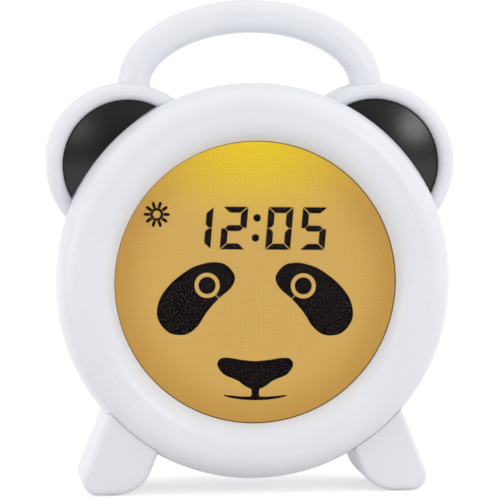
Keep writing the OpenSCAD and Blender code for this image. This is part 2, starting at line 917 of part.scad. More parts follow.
module rear_cover() {
    rib_out = mid_back_r - wall - fit_gap;
    color(white_abs)
        difference() {
            union() {
                difference() {
                    union() {
                        turned()
                            cover_form(0);
                        difference() {
                            both_sides()
                                ear_shell_back();
                            at(0, 0, split - 1)
                                cylinder(r = mid_back_r - wall, h = case_depth);
                        }
                    }
                    turned()
                        translate([0, -eps])
                            cover_form(wall);
                }
                turned()
                    polygon([
                        [rib_out - 1, split - 2], [rib_out, split - 2], [rib_out, split],
                        [rib_out + 0.6, split + 0.3], [rib_out + 0.6, split + 1.5], [rib_out - 1, split + 1.5]
                    ]);
                intersection() {
                    ring(cover_screw_ring, cover_screw_angles, split)
                        cylinder(r = cover_post_r, h = back_in - split + 0.5);
                    turned()
                        cover_form(0.4);
                }
                at(0, speaker_up, back_in - 2.2)
                    difference() {
                        cylinder(r = speaker_r + 1.4, h = 2.5);
                        translate([0, 0, -1])
                            cylinder(r = speaker_r + push_fit, h = 5);
                    }
                for (p = key_posts)
                    at(p.x, p.y, key_board_back)
                        cylinder(r = key_post_r, h = back_in - key_board_back + 0.3);
                bay_walls();
            }
            ring(cover_screw_ring, cover_screw_angles, split - 1)
                cylinder(r = screw_r + pass_gap, h = cover_seat_t + 2);
            ring(cover_screw_ring, cover_screw_angles, split + cover_seat_t)
                cylinder(r = cover_well_r, h = case_depth);
            for (p = key_posts)
                at(p.x, p.y, key_board_back - 1)
                    cylinder(r = board_screw_r + pilot_gap, h = 5.5);
            cover_openings();
        }
}

// ---------- carry handle ----------

// Outline of the bar about its centre line, as [outwards, backwards]
bar_steps = 10;
bar_outline = [for (side = [1, -1])
    for (i = [0:bar_steps])
    [0, side * bar_flat] + side * polar(bar_r, 180 * i / bar_steps)
];

// Ring of the bar where its centre line passes c, as [across, up], with way pointing outwards
function bar_ring(c, way) = [for (p = bar_outline)
    [c.x + way.x * p.x, handle_y + p.y, c.y + way.y * p.x]
];

// Bar that rises from its two roots into a half ellipse
module handle_bar() {
    arch = [for (i = [0:30])
        let (a = 6 * i)
        bar_ring(
            [root_x * cos(a), handle_z + handle_rise * sin(a)],
            unit([handle_rise * cos(a), root_x * sin(a)])
        )
    ];
    foot_z = root_low + 0.2;
    skin(concat(
        [bar_ring([root_x, foot_z], [1, 0])],
        arch,
        [bar_ring([-root_x, foot_z], [-1, 0])]
    ));
}

module carry_handle() {
    eyelet_r = tang_w / 2;
    color(white_abs)
        difference() {
            union() {
                handle_bar();
                both_sides()
                    translate([root_x, tang_back, 0])
                        rotate([90, 0, 0])
                            linear_extrude(tang_back - tang_front) {
                                translate([-eyelet_r, eyelet_z])
                                    square([tang_w, root_low + 2 - eyelet_z]);
                                translate([0, eyelet_z])
                                    circle(eyelet_r);
                            }
            }
            both_sides()
                translate([root_x, tang_front - 1, eyelet_z])
                    rotate([-90, 0, 0])
                        cylinder(r = eyelet_post_r + 0.1, h = tang_back - tang_front + 2);
        }
}

module handle_screws() {
    color(steel)
        both_sides()
            translate([root_x, tang_back, eyelet_z])
                rotate([-90, 0, 0])
                    screw(small_screw_r, 5, 2.6, 1.2);
}

// ---------- display ----------

// Disc about the case's axis with its low and high edges cut straight
module trimmed_disc(r, low, high, y, t) {
    slab(y, y + t)
        intersection() {
            circle(r);
            translate([-r, low])
                square([2 * r, high - low]);
        }
}

module window_lens() {
    color(glass_tint)
        at(0, 0, lens_y)
            cylinder(r = lens_r, h = lens_t);
}

module lcd_front_glass() {
    color(glass_tint)
        trimmed_disc(stack_r, ledge_low, stack_r, front_glass_y, glass_t);
}

module lcd_rear_glass() {
    color(glass_tint)
        trimmed_disc(stack_r, guide_low, stack_r, rear_glass_y, glass_t);
}

module diffuser_sheet() {
    color(amber)
        trimmed_disc(stack_r, guide_low, guide_top, diffuser_y, diffuser_t);
}

module light_guide() {
    color("#f4e2b0")
        trimmed_disc(stack_r, guide_low, guide_top, guide_y, guide_t);
}

module reflector_sheet() {
    color("white")
        trimmed_disc(stack_r, guide_low, guide_top, reflector_y, reflector_t);
}

module display_frame() {
    color("white")
        difference() {
            union() {
                at(0, 0, lens_y + 0.2)
                    cylinder(r = frame_out_r, h = frame_back - lens_y - 0.2);
                for (a = frame_screw_angles)
                    slab(frame_lug_y, frame_lug_y + frame_lug_t)
                        rotate(a)
                            union() {
                                translate([frame_out_r - 1, -boss_r])
                                    square([boss_ring_r - frame_out_r + 1, 2 * boss_r]);
                                translate([boss_ring_r, 0])
                                    circle(boss_r);
                            }
                ring(frame_screw_r, [0, 90, 180, 270], frame_back - eps)
                    cylinder(r = 1.6, h = standoff_h);
            }
            at(0, 0, lens_y)
                cylinder(r = frame_in_r, h = frame_floor_y - lens_y);
            slab(frame_floor_y - 1, frame_back + 1)
                translate([-strip_half - fit_gap, strip_low - fit_gap])
                    square([2 * strip_half + 2 * fit_gap, strip_high - strip_low + 2 * fit_gap]);
            ring(boss_ring_r, frame_screw_angles, frame_lug_y - 1)
                cylinder(r = screw_r + pass_gap, h = frame_lug_t + 2);
            ring(frame_screw_r, [0, 90, 180, 270], frame_back - 6)
                cylinder(r = small_screw_r + pilot_gap, h = 8);
        }
}

module backlight_board() {
    color(board_green)
        slab(guide_y - 0.4, reflector_y)
            translate([-12, guide_top + 1])
                square([24, 0.8]);
}

module backlight_leds() {
    color("#fff4c8")
        for (x = [-8, 0, 8])
            slab(guide_y + 0.5, guide_y + 2.5)
                translate([x - 1.4, guide_top + 0.1])
                    square([2.8, 0.9]);
}

module contact_strip() {
    color("#8d8f94")
        slab(rear_glass_y, board_y)
            translate([-strip_half, strip_low])
                square([2 * strip_half, strip_high - strip_low]);
}

// ---------- boards ----------

module main_board() {
    color(board_green)
        difference() {
            slab(board_y, board_back)
                union() {
                    circle(stack_r);
                    for (a = [0:90:270])
                        rotate(a) {
                            translate([stack_r - 2, -board_tab_r])
                                square([frame_screw_r - stack_r + 2, 2 * board_tab_r]);
                            translate([frame_screw_r, 0])
                                circle(board_tab_r);
                        }
                }
            ring(frame_screw_r, [0, 90, 180, 270], board_y - 1)
                cylinder(r = small_screw_r + push_fit, h = board_t + 2);
        }
}

module clock_chip() {
    dome_r = 9;
    color(black_resin)
        at(-14, 6, board_back)
            rotate_extrude()
                intersection() {
                    translate([0, 2 - dome_r])
                        circle(dome_r);
                    square([dome_r, 2]);
                }
}

module crystal_can() {
    color(steel)
        translate([6, board_back + 1.1, case_z + 4])
            rotate([0, 90, 0])
                cylinder(r = 1.1, h = 6.2);
}

module capacitor() {
    color("#30465f")
        at(22, 27, board_back)
            cylinder(r = 3.15, h = 7);
}

module wire_sockets() {
    color("#f2efe4")
        for (spot = socket_spots)
            slab(board_back, socket_back)
                translate(spot)
                    square([6, 4.5], center = true);
}

module key_board(side, low) {
    color(board_green)
        difference() {
            slab(key_board_y, key_board_back)
                translate([side * key_x, 0])
                    rounded_box([-key_board_half, low], [key_board_half, key_board_high], 1);
            for (p = key_posts)
                at(p.x, p.y, key_board_y - 1)
                    cylinder(r = board_screw_r + push_fit, h = board_t + 2);
        }
}

module left_key_board() {
    key_board(-1, key_board_low);
}

module right_key_board() {
    key_board(1, key_posts[3].y - 3);
}

module tact_switch(x, z) {
    color(black_resin)
        difference() {
            slab(key_board_back, switch_top)
                translate([x, z])
                    square([switch_w, switch_w], center = true);
            at(x, z, plunger_y - key_travel - fit_gap)
                cylinder(r = plunger_r + push_fit, h = switch_h);
        }
}

module key_switches() {
    for (z = key_rows)
        tact_switch(-key_x, z);
    for (z = [key_rows[0], key_rows[1]])
        tact_switch(key_x, z);
}

// ---------- keys ----------

// Key cap with a softened rim, a dished top and a flange behind the case wall
module key_cap(x, z) {
    rim_r = 0.6;
    dish_r = 14;
    tip = back_y + key_proud;
    color(smoke_key)
        at(x, z, 0)
            rotate_extrude()
                difference() {
                    union() {
                        translate([0, key_flange_y])
                            square([key_flange_r, key_flange_t]);
                        translate([0, key_flange_y])
                            square([key_r, tip - rim_r - key_flange_y]);
                        translate([0, key_flange_y])
                            square([key_r - rim_r, tip - key_flange_y]);
                        translate([key_r - rim_r, tip - rim_r])
                            circle(rim_r);
                    }
                    translate([0, tip - 0.35 + dish_r])
                        circle(dish_r);
                }
}

module plunger(x, z) {
    color(black_resin)
        at(x, z, plunger_y)
            cylinder(r = plunger_r, h = key_flange_y - plunger_y);
}

module mode_key() {
    key_cap(-key_x, key_rows[0]);
}

module up_key() {
    key_cap(-key_x, key_rows[1]);
}

module down_key() {
    key_cap(-key_x, key_rows[2]);
}

module alarm_key() {
    key_cap(key_x, key_rows[0]);
}

module light_key() {
    key_cap(key_x, key_rows[1]);
}

module mode_plunger() {
    plunger(-key_x, key_rows[0]);
}

module up_plunger() {
    plunger(-key_x, key_rows[1]);
}

module down_plunger() {
    plunger(-key_x, key_rows[2]);
}

module alarm_plunger() {
    plunger(key_x, key_rows[0]);
}

module light_plunger() {
    plunger(key_x, key_rows[1]);
}

module slide_switch() {
    color(steel)
        difference() {
            slab(key_board_back, key_board_back + slide_body_h)
                translate([key_x, slide_z])
                    square([slide_body_x, slide_body_z], center = true);
            slab(key_board_back + 1.8, key_board_back + slide_body_h + 1)
                translate([key_x, slide_z])
                    square([stem_x + 0.4, stem_z + slide_travel + 0.4], center = true);
        }
}

// Ribbed thumb piece on the switch's stem, drawn at the low end of its travel
module slide_knob() {
    tip = back_y + key_proud;
    foot = key_board_back + slide_body_h + fit_gap;
    color(black_resin)
        difference() {
            union() {
                slab(key_board_back + 2.1, foot + 0.5)
                    translate([key_x, slide_rest])
                        square([stem_x, stem_z], center = true);
                slab(foot, tip)
                    translate([key_x, slide_rest])
                        square([knob_x, knob_z], center = true);
            }
            for (i = [-1:1])
                translate([key_x - knob_x, tip, case_z + slide_rest + 1.5 * i])
                    rotate([0, 90, 0])
                        cylinder(r = 0.4, h = 2 * knob_x);
        }
}

module usb_socket() {
    mouth = back_y - 0.6;
    color(steel) {
        difference() {
            slab(key_board_back, mouth)
                translate([-key_x, usb_z])
                    stadium(usb_w, usb_h);
            slab(key_board_back + 1.2, mouth + 1)
                translate([-key_x, usb_z])
                    stadium(usb_w - 2 * usb_shell, usb_h - 2 * usb_shell);
        }
        slab(key_board_back + 1, mouth - 1)
            translate([-key_x, usb_z])
                square([6, 0.7], center = true);
    }
}

// ---------- speaker ----------

module speaker_turned() {
    at(0, speaker_up, back_in - 22.6)
        rotate_extrude()
            children();
}

module speaker_frame() {
    rim = speaker_r;
    color(steel)
        speaker_turned()
            polygon([
                [0, 17.8], [7.6, 17.8], [rim - 1.4, 21.3], [rim, 21.3], [rim, 22.5],
                [rim - 2, 22.5], [rim - 2, 21.9], [7.2, 18.6], [0, 18.6]
            ]);
}

module speaker_cone() {
    rim = speaker_r - 2.1;
    color("#3a3b3d")
        speaker_turned()
            polygon([
                [0, 20.1], [1.8, 19.9], [3.2, 19.4], [rim - 0.5, 22], [rim, 22], [rim, 22.3],
                [rim - 0.6, 22.3], [3.1, 19.8], [1.8, 20.4], [0, 20.6]
            ]);
}

module speaker_magnet() {
    color("#55575c")
        speaker_turned()
            translate([0, 14])
                square([6.8, 3.8]);
}

module speaker_wires() {
    tab_y = back_in - 22.6 + 17.8;
    color("#b4322c")
        for (side = [-1, 1])
            wire(
                [socket_spots[0].x + side, socket_back, case_z + socket_spots[0].y], [0, 9, 0],
                [9 * side, tab_y, case_z + speaker_up - 2], [0, -8, -2],
                0.5
            );
}

// ---------- batteries ----------

// Battery cell along Z with its nub up, or down when flipped
module cell(x, flip) {
    low = case_z + (flip ? bay_low + contact_t : bay_high - contact_t - cell_len);
    body_len = cell_len - nub_h;
    translate([x, cell_y, low + cell_len / 2])
        rotate([flip ? 180 : 0, 0, 0])
            translate([0, 0, -cell_len / 2])
                rotate_extrude()
                    polygon([
                        [0, 0], [cell_d / 2 - 0.4, 0], [cell_d / 2, 0.4], [cell_d / 2, body_len - 0.6],
                        [cell_d / 2 - 0.6, body_len], [nub_r, body_len], [nub_r, cell_len - 0.3],
                        [nub_r - 0.3, cell_len], [0, cell_len]
                    ]);
}

module left_cell() {
    color("#3d6b4a")
        cell(-cell_pitch, false);
}

module middle_cell() {
    color("#3d6b4a")
        cell(0, true);
}

module right_cell() {
    color("#3d6b4a")
        cell(cell_pitch, false);
}

// Wire coil from Z = 0 to Z = h that narrows from r0 to r1
module coil(r0, r1, wire_r, turns, h) {
    sides = 6;
    steps = 14 * turns;
    skin([for (i = [0:steps])
        let (t = i / steps, a = 360 * turns * t, r = r0 + (r1 - r0) * t)
        [for (k = [0:sides - 1])
            let (b = -360 * k / sides, out = r + wire_r * cos(b))
            [out * cos(a), out * sin(a), wire_r + (h - 2 * wire_r) * t + wire_r * sin(b)]]
    ]);
}

// Contact strip on an end wall of the bay, from x0 to x1
module end_plate(x0, x1, z) {
    translate([x0, cell_y - 4.5, z])
        cube([x1 - x0, 9, contact_t]);
}

module spring_contacts() {
    color(steel) {
        for (x = [-cell_pitch, cell_pitch])
            translate([x, cell_y, case_z + bay_low + contact_t])
                coil(4.2, 2.6, 0.35, 3, spring_len);
        translate([0, cell_y, case_z + bay_high - contact_t])
            mirror([0, 0, 1])
                coil(4.2, 2.6, 0.35, 3, spring_len);
    }
}

module plate_contacts() {
    reach = 5;
    low = case_z + bay_low;
    high = case_z + bay_high - contact_t;
    color(steel) {
        end_plate(-cell_pitch - reach, reach, low);
        end_plate(cell_pitch - reach, cell_pitch + reach, low);
        end_plate(-cell_pitch - reach, -cell_pitch + reach, high);
        end_plate(-reach, cell_pitch + reach, high);
    }
}

module battery_wires() {
    color("#222222")
        for (side = [-1, 1])
            wire(
                [socket_spots[1].x + side, socket_back, case_z + socket_spots[1].y], [0, 3, 0],
                [-cell_pitch + 4 * side, bay_floor + 4, case_z + bay_high + bay_wall], [0, 0, 3],
                0.5
            );
}

module key_wires() {
    color("#c9ccd2")
        for (side = [-1, 1])
            for (i = [-1:1])
                wire(
                    [socket_spots[3].x * side, socket_back, case_z + i * 1.4], [0, 4, 0],
                    [(key_x - 4) * side, key_board_y, case_z + i * 1.4], [0, -4, 0],
                    0.45
                );
}

// ---------- battery door ----------

// Swings the door and its screw about the door's outer low edge
module door_swing() {
    edge = [0, back_y, case_z + door_low];
    translate(edge)
        rotate([-door_angle, 0, 0])
            translate(-edge)
                children();
}

module battery_door() {
    color(white_abs)
        door_swing()
            difference() {
                union() {
                    slab(back_in, back_y)
                        door_outline(0);
                    for (side = [-1, 1]) {
                        slab(hook_y, back_in + eps)
                            translate([side * hook_x - hook_w / 2, door_low])
                                square([hook_w, 1.6]);
                        slab(hook_y, back_in - 0.4)
                            translate([side * hook_x - hook_w / 2, door_low - hook_drop])
                                square([hook_w, hook_drop + 1]);
                    }
                    for (x = [-cell_pitch / 2, cell_pitch / 2])
                        slab(back_in - 1.6, back_in + eps)
                            translate([x - 0.6, bay_low + 8])
                                square([1.2, bay_len - 16]);
                }
                at(0, door_screw_z, back_in - 1)
                    cylinder(r = screw_r + push_fit, h = wall + 2);
                at(0, door_screw_z, back_y - 1.4)
                    cylinder(r = screw_head_r + push_fit, h = 2);
                for (i = [0:4])
                    translate([-7, back_y + 0.3, case_z + door_high - 3.5 - 2.2 * i])
                        rotate([0, 90, 0])
                            cylinder(r = 0.8, h = 14);
            }
}

module door_screw() {
    color(steel)
        door_swing()
            at(0, door_screw_z, back_y - 1.4)
                screw(screw_r, 3.8, screw_head_r, screw_head_h);
}

// ---------- fasteners ----------

module bezel_screws() {
    color(steel)
        ring(boss_ring_r, bezel_screw_angles, flange_back)
            screw(screw_r, 8, screw_head_r, screw_head_h);
}

module cover_screws() {
    color(steel)
        ring(cover_screw_ring, cover_screw_angles, split + cover_seat_t)
            screw(screw_r, 12, screw_head_r, 1.8);
}

module frame_screws() {
    color(steel)
        ring(boss_ring_r, frame_screw_angles, frame_lug_y + frame_lug_t)
            screw(screw_r, 7, screw_head_r, 1.1);
}

module board_screws() {
    color(steel)
        ring(frame_screw_r, [0, 90, 180, 270], board_back)
            screw(small_screw_r, 6, 1.8, 1);
}

module key_board_screws() {
    color(steel)
        for (p = key_posts)
            at(p.x, p.y, key_board_y)
                mirror([0, 0, 1])
                    screw(board_screw_r, 5, 1.9, 1);
}

front_bezel();
mid_housing();
rear_cover();
carry_handle();
left_ear_insert();
right_ear_insert();
window_lens();
lcd_front_glass();
lcd_rear_glass();
diffuser_sheet();
light_guide();
reflector_sheet();
display_frame();
backlight_board();
backlight_leds();
contact_strip();
main_board();
clock_chip();
crystal_can();
capacitor();
wire_sockets();
speaker_frame();
speaker_cone();
speaker_magnet();
speaker_wires();
left_key_board();
right_key_board();
key_switches();
mode_key();
up_key();
down_key();
alarm_key();
light_key();
mode_plunger();
up_plunger();
down_plunger();
alarm_plunger();
light_plunger();
slide_switch();
slide_knob();
usb_socket();
left_cell();
middle_cell();
right_cell();
spring_contacts();
plate_contacts();
battery_wires();
key_wires();
battery_door();
door_screw();
bezel_screws();
cover_screws();
frame_screws();
board_screws();
key_board_screws();
handle_screws();
left_leg();
right_leg();
leg_screws();
foot_pads();
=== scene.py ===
import math

import bmesh
import bpy
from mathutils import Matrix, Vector
from mathutils.geometry import tessellate_polygon


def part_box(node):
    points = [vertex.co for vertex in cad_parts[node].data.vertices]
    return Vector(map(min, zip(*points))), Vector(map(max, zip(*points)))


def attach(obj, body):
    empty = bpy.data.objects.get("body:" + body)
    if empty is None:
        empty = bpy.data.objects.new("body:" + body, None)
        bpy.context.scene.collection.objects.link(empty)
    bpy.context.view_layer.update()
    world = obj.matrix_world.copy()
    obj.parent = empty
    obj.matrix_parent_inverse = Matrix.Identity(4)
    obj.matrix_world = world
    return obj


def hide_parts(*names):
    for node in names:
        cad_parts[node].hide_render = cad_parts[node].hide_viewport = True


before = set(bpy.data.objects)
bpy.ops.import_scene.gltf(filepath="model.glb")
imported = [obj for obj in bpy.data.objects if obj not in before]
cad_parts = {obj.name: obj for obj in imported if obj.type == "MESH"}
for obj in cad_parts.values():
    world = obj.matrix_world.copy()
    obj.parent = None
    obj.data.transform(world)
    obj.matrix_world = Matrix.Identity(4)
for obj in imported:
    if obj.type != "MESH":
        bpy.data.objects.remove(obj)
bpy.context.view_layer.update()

MM = 0.001

# ---------- places and sizes, in millimetres ----------


def edges(node):
    """Lowest and highest corner of a CAD node."""
    low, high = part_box(node)
    return Vector(low) / MM, Vector(high) / MM


# the lens, the lip of the bezel that laps over its edge, and a dark ring on the lens that is
# painted shade, for the shadow in the gap under the lip
lens_low, lens_high = edges("window_lens")
CASE_Z = (lens_low.z + lens_high.z) / 2
LENS_R = (lens_high.x - lens_low.x) / 2
LIP_LAP = 3.3
OPENING_R = LENS_R - LIP_LAP
SHADE_RING_SHOWS = 0.3
SHADE_RING_MARGIN = 0.6
SHADE_RING_PROUD = 0.015
SHADE_RING_SUNK = 0.01

# the dark segments lie between the rear glass and the film, a little aside, low and askew
REAR_GLASS_BACK = edges("lcd_rear_glass")[1].y
DIFFUSER_FRONT = edges("diffuser_sheet")[0].y
SEGMENT_GAP = 0.02
MARKS_ASIDE = 0.37
MARKS_LOW = 0.8
MARKS_SKEW = 0.0155

# the handle: a round bar, a little deeper than it is wide, bent to half an ellipse above two short
# straight roots
handle_low, handle_high = edges("carry_handle")
BAR_R = 5.25
HANDLE_DEPTH = 12.0
BAR_FLAT = HANDLE_DEPTH / 2 - BAR_R
HANDLE_HALF = (handle_high.x - handle_low.x) / 2 - BAR_R
HANDLE_RISE = 22.4
HANDLE_Z = handle_high.z - BAR_R - HANDLE_RISE
HANDLE_Y = handle_high.y - HANDLE_DEPTH / 2
HANDLE_STRAIGHT = 0.6
HANDLE_FOOT = 1.55
HANDLE_FOOT_Z = HANDLE_Z - HANDLE_FOOT
BAR_STEPS = 16
ARCH_STEPS = 96

# the tang that is screwed down below each root, and the collar that fills the back of its slot
TANG_W = 8.4
TANG_T = 7.0
TANG_BEHIND = 5.1
TANG_BACK = HANDLE_Y + TANG_BEHIND
TANG_FRONT = TANG_BACK - TANG_T
TANG_LAP = 2
EYELET_R = 1.7
EYELET_Z = handle_low.z + TANG_W / 2
COLLAR_STEPS = 12
COLLAR_SIDE_GAP = 0.03
COLLAR_TOP_GAP = 0.12
COLLAR_BEHIND = 0.5

# the ears: a rolled rim round a pocket, and in it a domed insert that ends at the case's circle
CASE_R = 63.5
CASE_GAP = 0.15
INSERT_R = 20.2
insert_low, insert_high = edges("right_ear_insert")
EAR_X = insert_high.x - INSERT_R
EAR_Z = insert_high.z - INSERT_R
EAR_FLOOR = insert_high.y
EAR_RIM_R = 2.6
EAR_RIM_MID = 23.4
EAR_RIM_RAISE = 0.1
DOME_TOP = insert_low.y
DOME_R = 61.7
DOME_STEP = 0.875
DOME_STEPS = 25
DOME_EDGE_R = 0.14
DOME_EDGE_IN = 0.3
DOME_EDGE_DOWN = 0.25
SKIRT_GAP = 0.06
SKIRT_TURNS = (58, 66, 74, 82, 90)

# the foot's outer low corner, as the CAD rounds it and as the leg is shown; the change fades out
# towards the middle of the old rounding
LEG_LEAN = math.radians(21.5)
LEG_OUT = 57.5
LEG_LOW = 0.3
CAD_CORNER_R = 6.5
FULL_CORNER_R = 4.6
CORNER_STILL_R = 2
CORNER_FADE = 2


# ---------- mesh helpers ----------

CURVE_STEPS = 8


def placed(name, data):
    """A new object in the scene."""
    made = bpy.data.objects.new(name, data)
    bpy.context.scene.collection.objects.link(made)
    return made


def piece(name, mesh, body, material, smooth=True):
    """Puts a finished mesh on its body and material."""
    mesh.shade_smooth() if smooth else mesh.shade_flat()
    made = placed(name, mesh)
    mesh.materials.append(material)
    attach(made, body)
    return made


def mesh_of(form, name):
    """Turns a bmesh into a mesh with its faces looking outwards."""
    bmesh.ops.recalc_face_normals(form, faces=form.faces)
    mesh = bpy.data.meshes.new(name)
    form.to_mesh(mesh)
    form.free()
    return mesh


def plate_into(form, loops, front, back):
    """Adds a flat plate between two depths: closed loops of (x, z), the inner ones being holes."""
    flat = [[Vector((x, z, 0)) for x, z in loop] for loop in loops]
    fronts, backs = (
        [form.verts.new((p.x * MM, y * MM, p.y * MM)) for loop in flat for p in loop]
        for y in (front, back)
    )
    for a, b, c in tessellate_polygon(flat):
        form.faces.new([fronts[i] for i in (a, b, c)])
        form.faces.new([backs[i] for i in (c, b, a)])
    start = 0
    for loop in loops:
        count = len(loop)
        for i in range(count):
            a, b = start + i, start + (i + 1) % count
            form.faces.new([fronts[a], fronts[b], backs[b], backs[a]])
        start += count


def join_rings(form, rings):
    """Skins each ring of points to the next."""
    for ring, following in zip(rings, rings[1:]):
        for i in range(len(ring)):
            j = (i + 1) % len(ring)
            form.faces.new((ring[i], ring[j], following[j], following[i]))


def turned_into(form, profile, x, z, steps=128):
    """Adds a solid turned about a Y axis at x, z: points (r, y) from its front to its back."""
    turns = [math.tau * i / steps for i in range(steps)]
    rings = [
        [form.verts.new(((x + r * math.cos(a)) * MM, y * MM, (z + r * math.sin(a)) * MM))
         for a in turns]
        for r, y in profile[1:-1]
    ]
    tips = [form.verts.new((x * MM, y * MM, z * MM)) for y in (profile[0][1], profile[-1][1])]
    join_rings(form, rings)
    for i in range(steps):
        j = (i + 1) % steps
        form.faces.new((tips[0], rings[0][j], rings[0][i]))
        form.faces.new((tips[1], rings[-1][i], rings[-1][j]))


def circle(x, z, r, steps=64):
    turns = [math.tau * i / steps for i in range(steps)]
    return [(x + r * math.cos(a), z + r * math.sin(a)) for a in turns]


def smooth_loop(knots):
    """Closed curve through the knots (Catmull-Rom)."""
    count = len(knots)
    loop = []
    for i in range(count):
        p, q, r, s = (knots[(i + k) % count] for k in (-1, 0, 1, 2))
        for j in range(CURVE_STEPS):
            t = j / CURVE_STEPS
            loop.append(tuple(
                0.5 * (2 * q[k] + (r[k] - p[k]) * t
                       + (2 * p[k] - 5 * q[k] + 4 * r[k] - s[k]) * t * t
                       + (3 * q[k] - p[k] - 3 * r[k] + s[k]) * t ** 3)
                for k in (0, 1)))
    return loop


def mirrored(loop):
    return [(-x, z) for x, z in reversed(loop)]


# ---------- material helpers ----------

# the colour sockets of a Mix node
COLOUR_A, COLOUR_B, MIXED = 6, 7, 2


def linear(code):
    """sRGB hex colour as linear numbers."""
    parts = [int(code[i:i + 2], 16) / 255 for i in (1, 3, 5)]
    parts = [p / 12.92 if p <= 0.04045 else ((p + 0.055) / 1.055) ** 2.4 for p in parts]
    return (*parts, 1.0)


def per(size):
    """Texture scale for a pattern of this size in mm, on coordinates in metres."""
    return 1000 / size


def bands(size):
    """Wave texture scale for bands that lie this many mm apart."""
    return per(size) / math.tau * 2


def add(tree, kind, inputs=None, **settings):
    """Adds a node with its settings, input values and links; a node given as an input stands for
    its first output."""
    node = tree.nodes.new("ShaderNode" + kind)
    for key, value in settings.items():
        setattr(node, key, value)
    for key, value in (inputs or {}).items():
        if isinstance(value, bpy.types.Node):
            value = value.outputs[0]
        if isinstance(value, bpy.types.NodeSocket):
            tree.links.new(value, node.inputs[key])
        else:
            node.inputs[key].default_value = value
    return node


def blank(name):
    """A new material, its empty tree, and the clock's coordinates in it."""
    made = bpy.data.materials.new(name)
    made.use_nodes = True
    tree = made.node_tree
    tree.nodes.clear()
    return made, tree, add(tree, "TexCoord").outputs["Object"]


# ---------- plastics and metals ----------

def moulded(name, low, high, roughness, grain, depth, cloud=18.0, sheen=0.0, mirror=0.5):
    """Injection-moulded plastic: a faint cloudiness of tone, and the fine grain of a spark-eroded
    mould in gloss and relief."""
    made, tree, place = blank(name)
    clouds = add(tree, "TexNoise", {"Vector": place, "Scale": per(cloud), "Detail": 3.0})
    pits = add(tree, "TexNoise", {
        "Vector": place, "Scale": per(grain), "Detail": 4.0, "Roughness": 0.6,
    })
    tone = add(tree, "MapRange", {"Value": clouds, "From Min": 0.3, "From Max": 0.7})
    colour = add(tree, "Mix", {"Factor": tone, COLOUR_A: linear(low), COLOUR_B: linear(high)},
                 data_type="RGBA")
    gloss = add(tree, "MapRange", {
        "Value": pits, "From Min": 0.3, "From Max": 0.7,
        "To Min": roughness - 0.04, "To Max": roughness + 0.04,
    })
    relief = add(tree, "Bump", {"Height": pits, "Distance": depth * MM, "Strength": 1.0})
    surface = add(tree, "BsdfPrincipled", {
        "Base Color": colour.outputs[MIXED],
        "Roughness": gloss,
        "Specular IOR Level": mirror,
        "Normal": relief,
        "Sheen Weight": sheen,
    })
    add(tree, "OutputMaterial", {"Surface": surface})
    return made


def plated(name, low, high, roughness, scratch):
    """Plated sheet or screw metal: fine drawn lines along X in gloss and relief, and a slightly
    uneven deposit."""
    made, tree, place = blank(name)
    stretched = add(tree, "Mapping", {"Vector": place, "Scale": (0.08, 1.0, 1.0)})
    lines = add(tree, "TexNoise", {"Vector": stretched, "Scale": per(scratch), "Detail": 3.0})
    deposit = add(tree, "TexNoise", {"Vector": place, "Scale": per(1.6), "Detail": 4.0})
    tone = add(tree, "MapRange", {"Value": deposit, "From Min": 0.3, "From Max": 0.7})
    colour = add(tree, "Mix", {"Factor": tone, COLOUR_A: linear(low), COLOUR_B: linear(high)},
                 data_type="RGBA")
    gloss = add(tree, "MapRange", {
        "Value": lines, "From Min": 0.3, "From Max": 0.7,
        "To Min": roughness - 0.08, "To Max": roughness + 0.08,
    })
    relief = add(tree, "Bump", {"Height": lines, "Distance": 0.004 * MM, "Strength": 1.0})
    surface = add(tree, "BsdfPrincipled", {
        "Base Color": colour.outputs[MIXED],
        "Metallic": 1.0,
        "Roughness": gloss,
        "Normal": relief,
    })
    add(tree, "OutputMaterial", {"Surface": surface})
    return made


# ---------- display materials ----------

# the lit film, from the display's middle: where painted shade for the lip's shadow starts to brown
# it, and its edge in the opening; how far down the lamps at its top edge glow, and how much less
# they fade sideways, because they stand in a row
FILM_LIP_SHADE_R = 31
FILM_EDGE_R = 45.5
LAMP_REACH = 33
LAMP_ROW = 0.6


def clear_sheet(name, tint, mirrored_share, marks_size, gloss):
    """Flat polished sheet that is looked straight through: a weak mirror on its face, stronger at a
    glancing angle, with faint marks in its gloss."""
    made, tree, place = blank(name)
    marks = add(tree, "TexNoise", {"Vector": place, "Scale": per(marks_size), "Detail": 5.0})
    marked = add(tree, "MapRange", {
        "Value": marks, "From Min": 0.45, "From Max": 0.8, "To Min": gloss, "To Max": gloss + 0.02,
    })
    edge_on = add(tree, "Fresnel", {"IOR": 1.45})
    inside = add(tree, "NewGeometry").outputs["Backfacing"]
    outside = add(tree, "MapRange", {"Value": inside, "To Min": mirrored_share, "To Max": 0.0})
    share = add(tree, "Math", {0: edge_on, 1: outside}, operation="MULTIPLY")
    through = add(tree, "BsdfTransparent", {"Color": linear(tint)})
    mirror = add(tree, "BsdfAnisotropic", {"Color": linear("#ffffff"), "Roughness": marked})
    surface = add(tree, "MixShader", {0: share, 1: through, 2: mirror})
    add(tree, "OutputMaterial", {"Surface": surface})
    return made


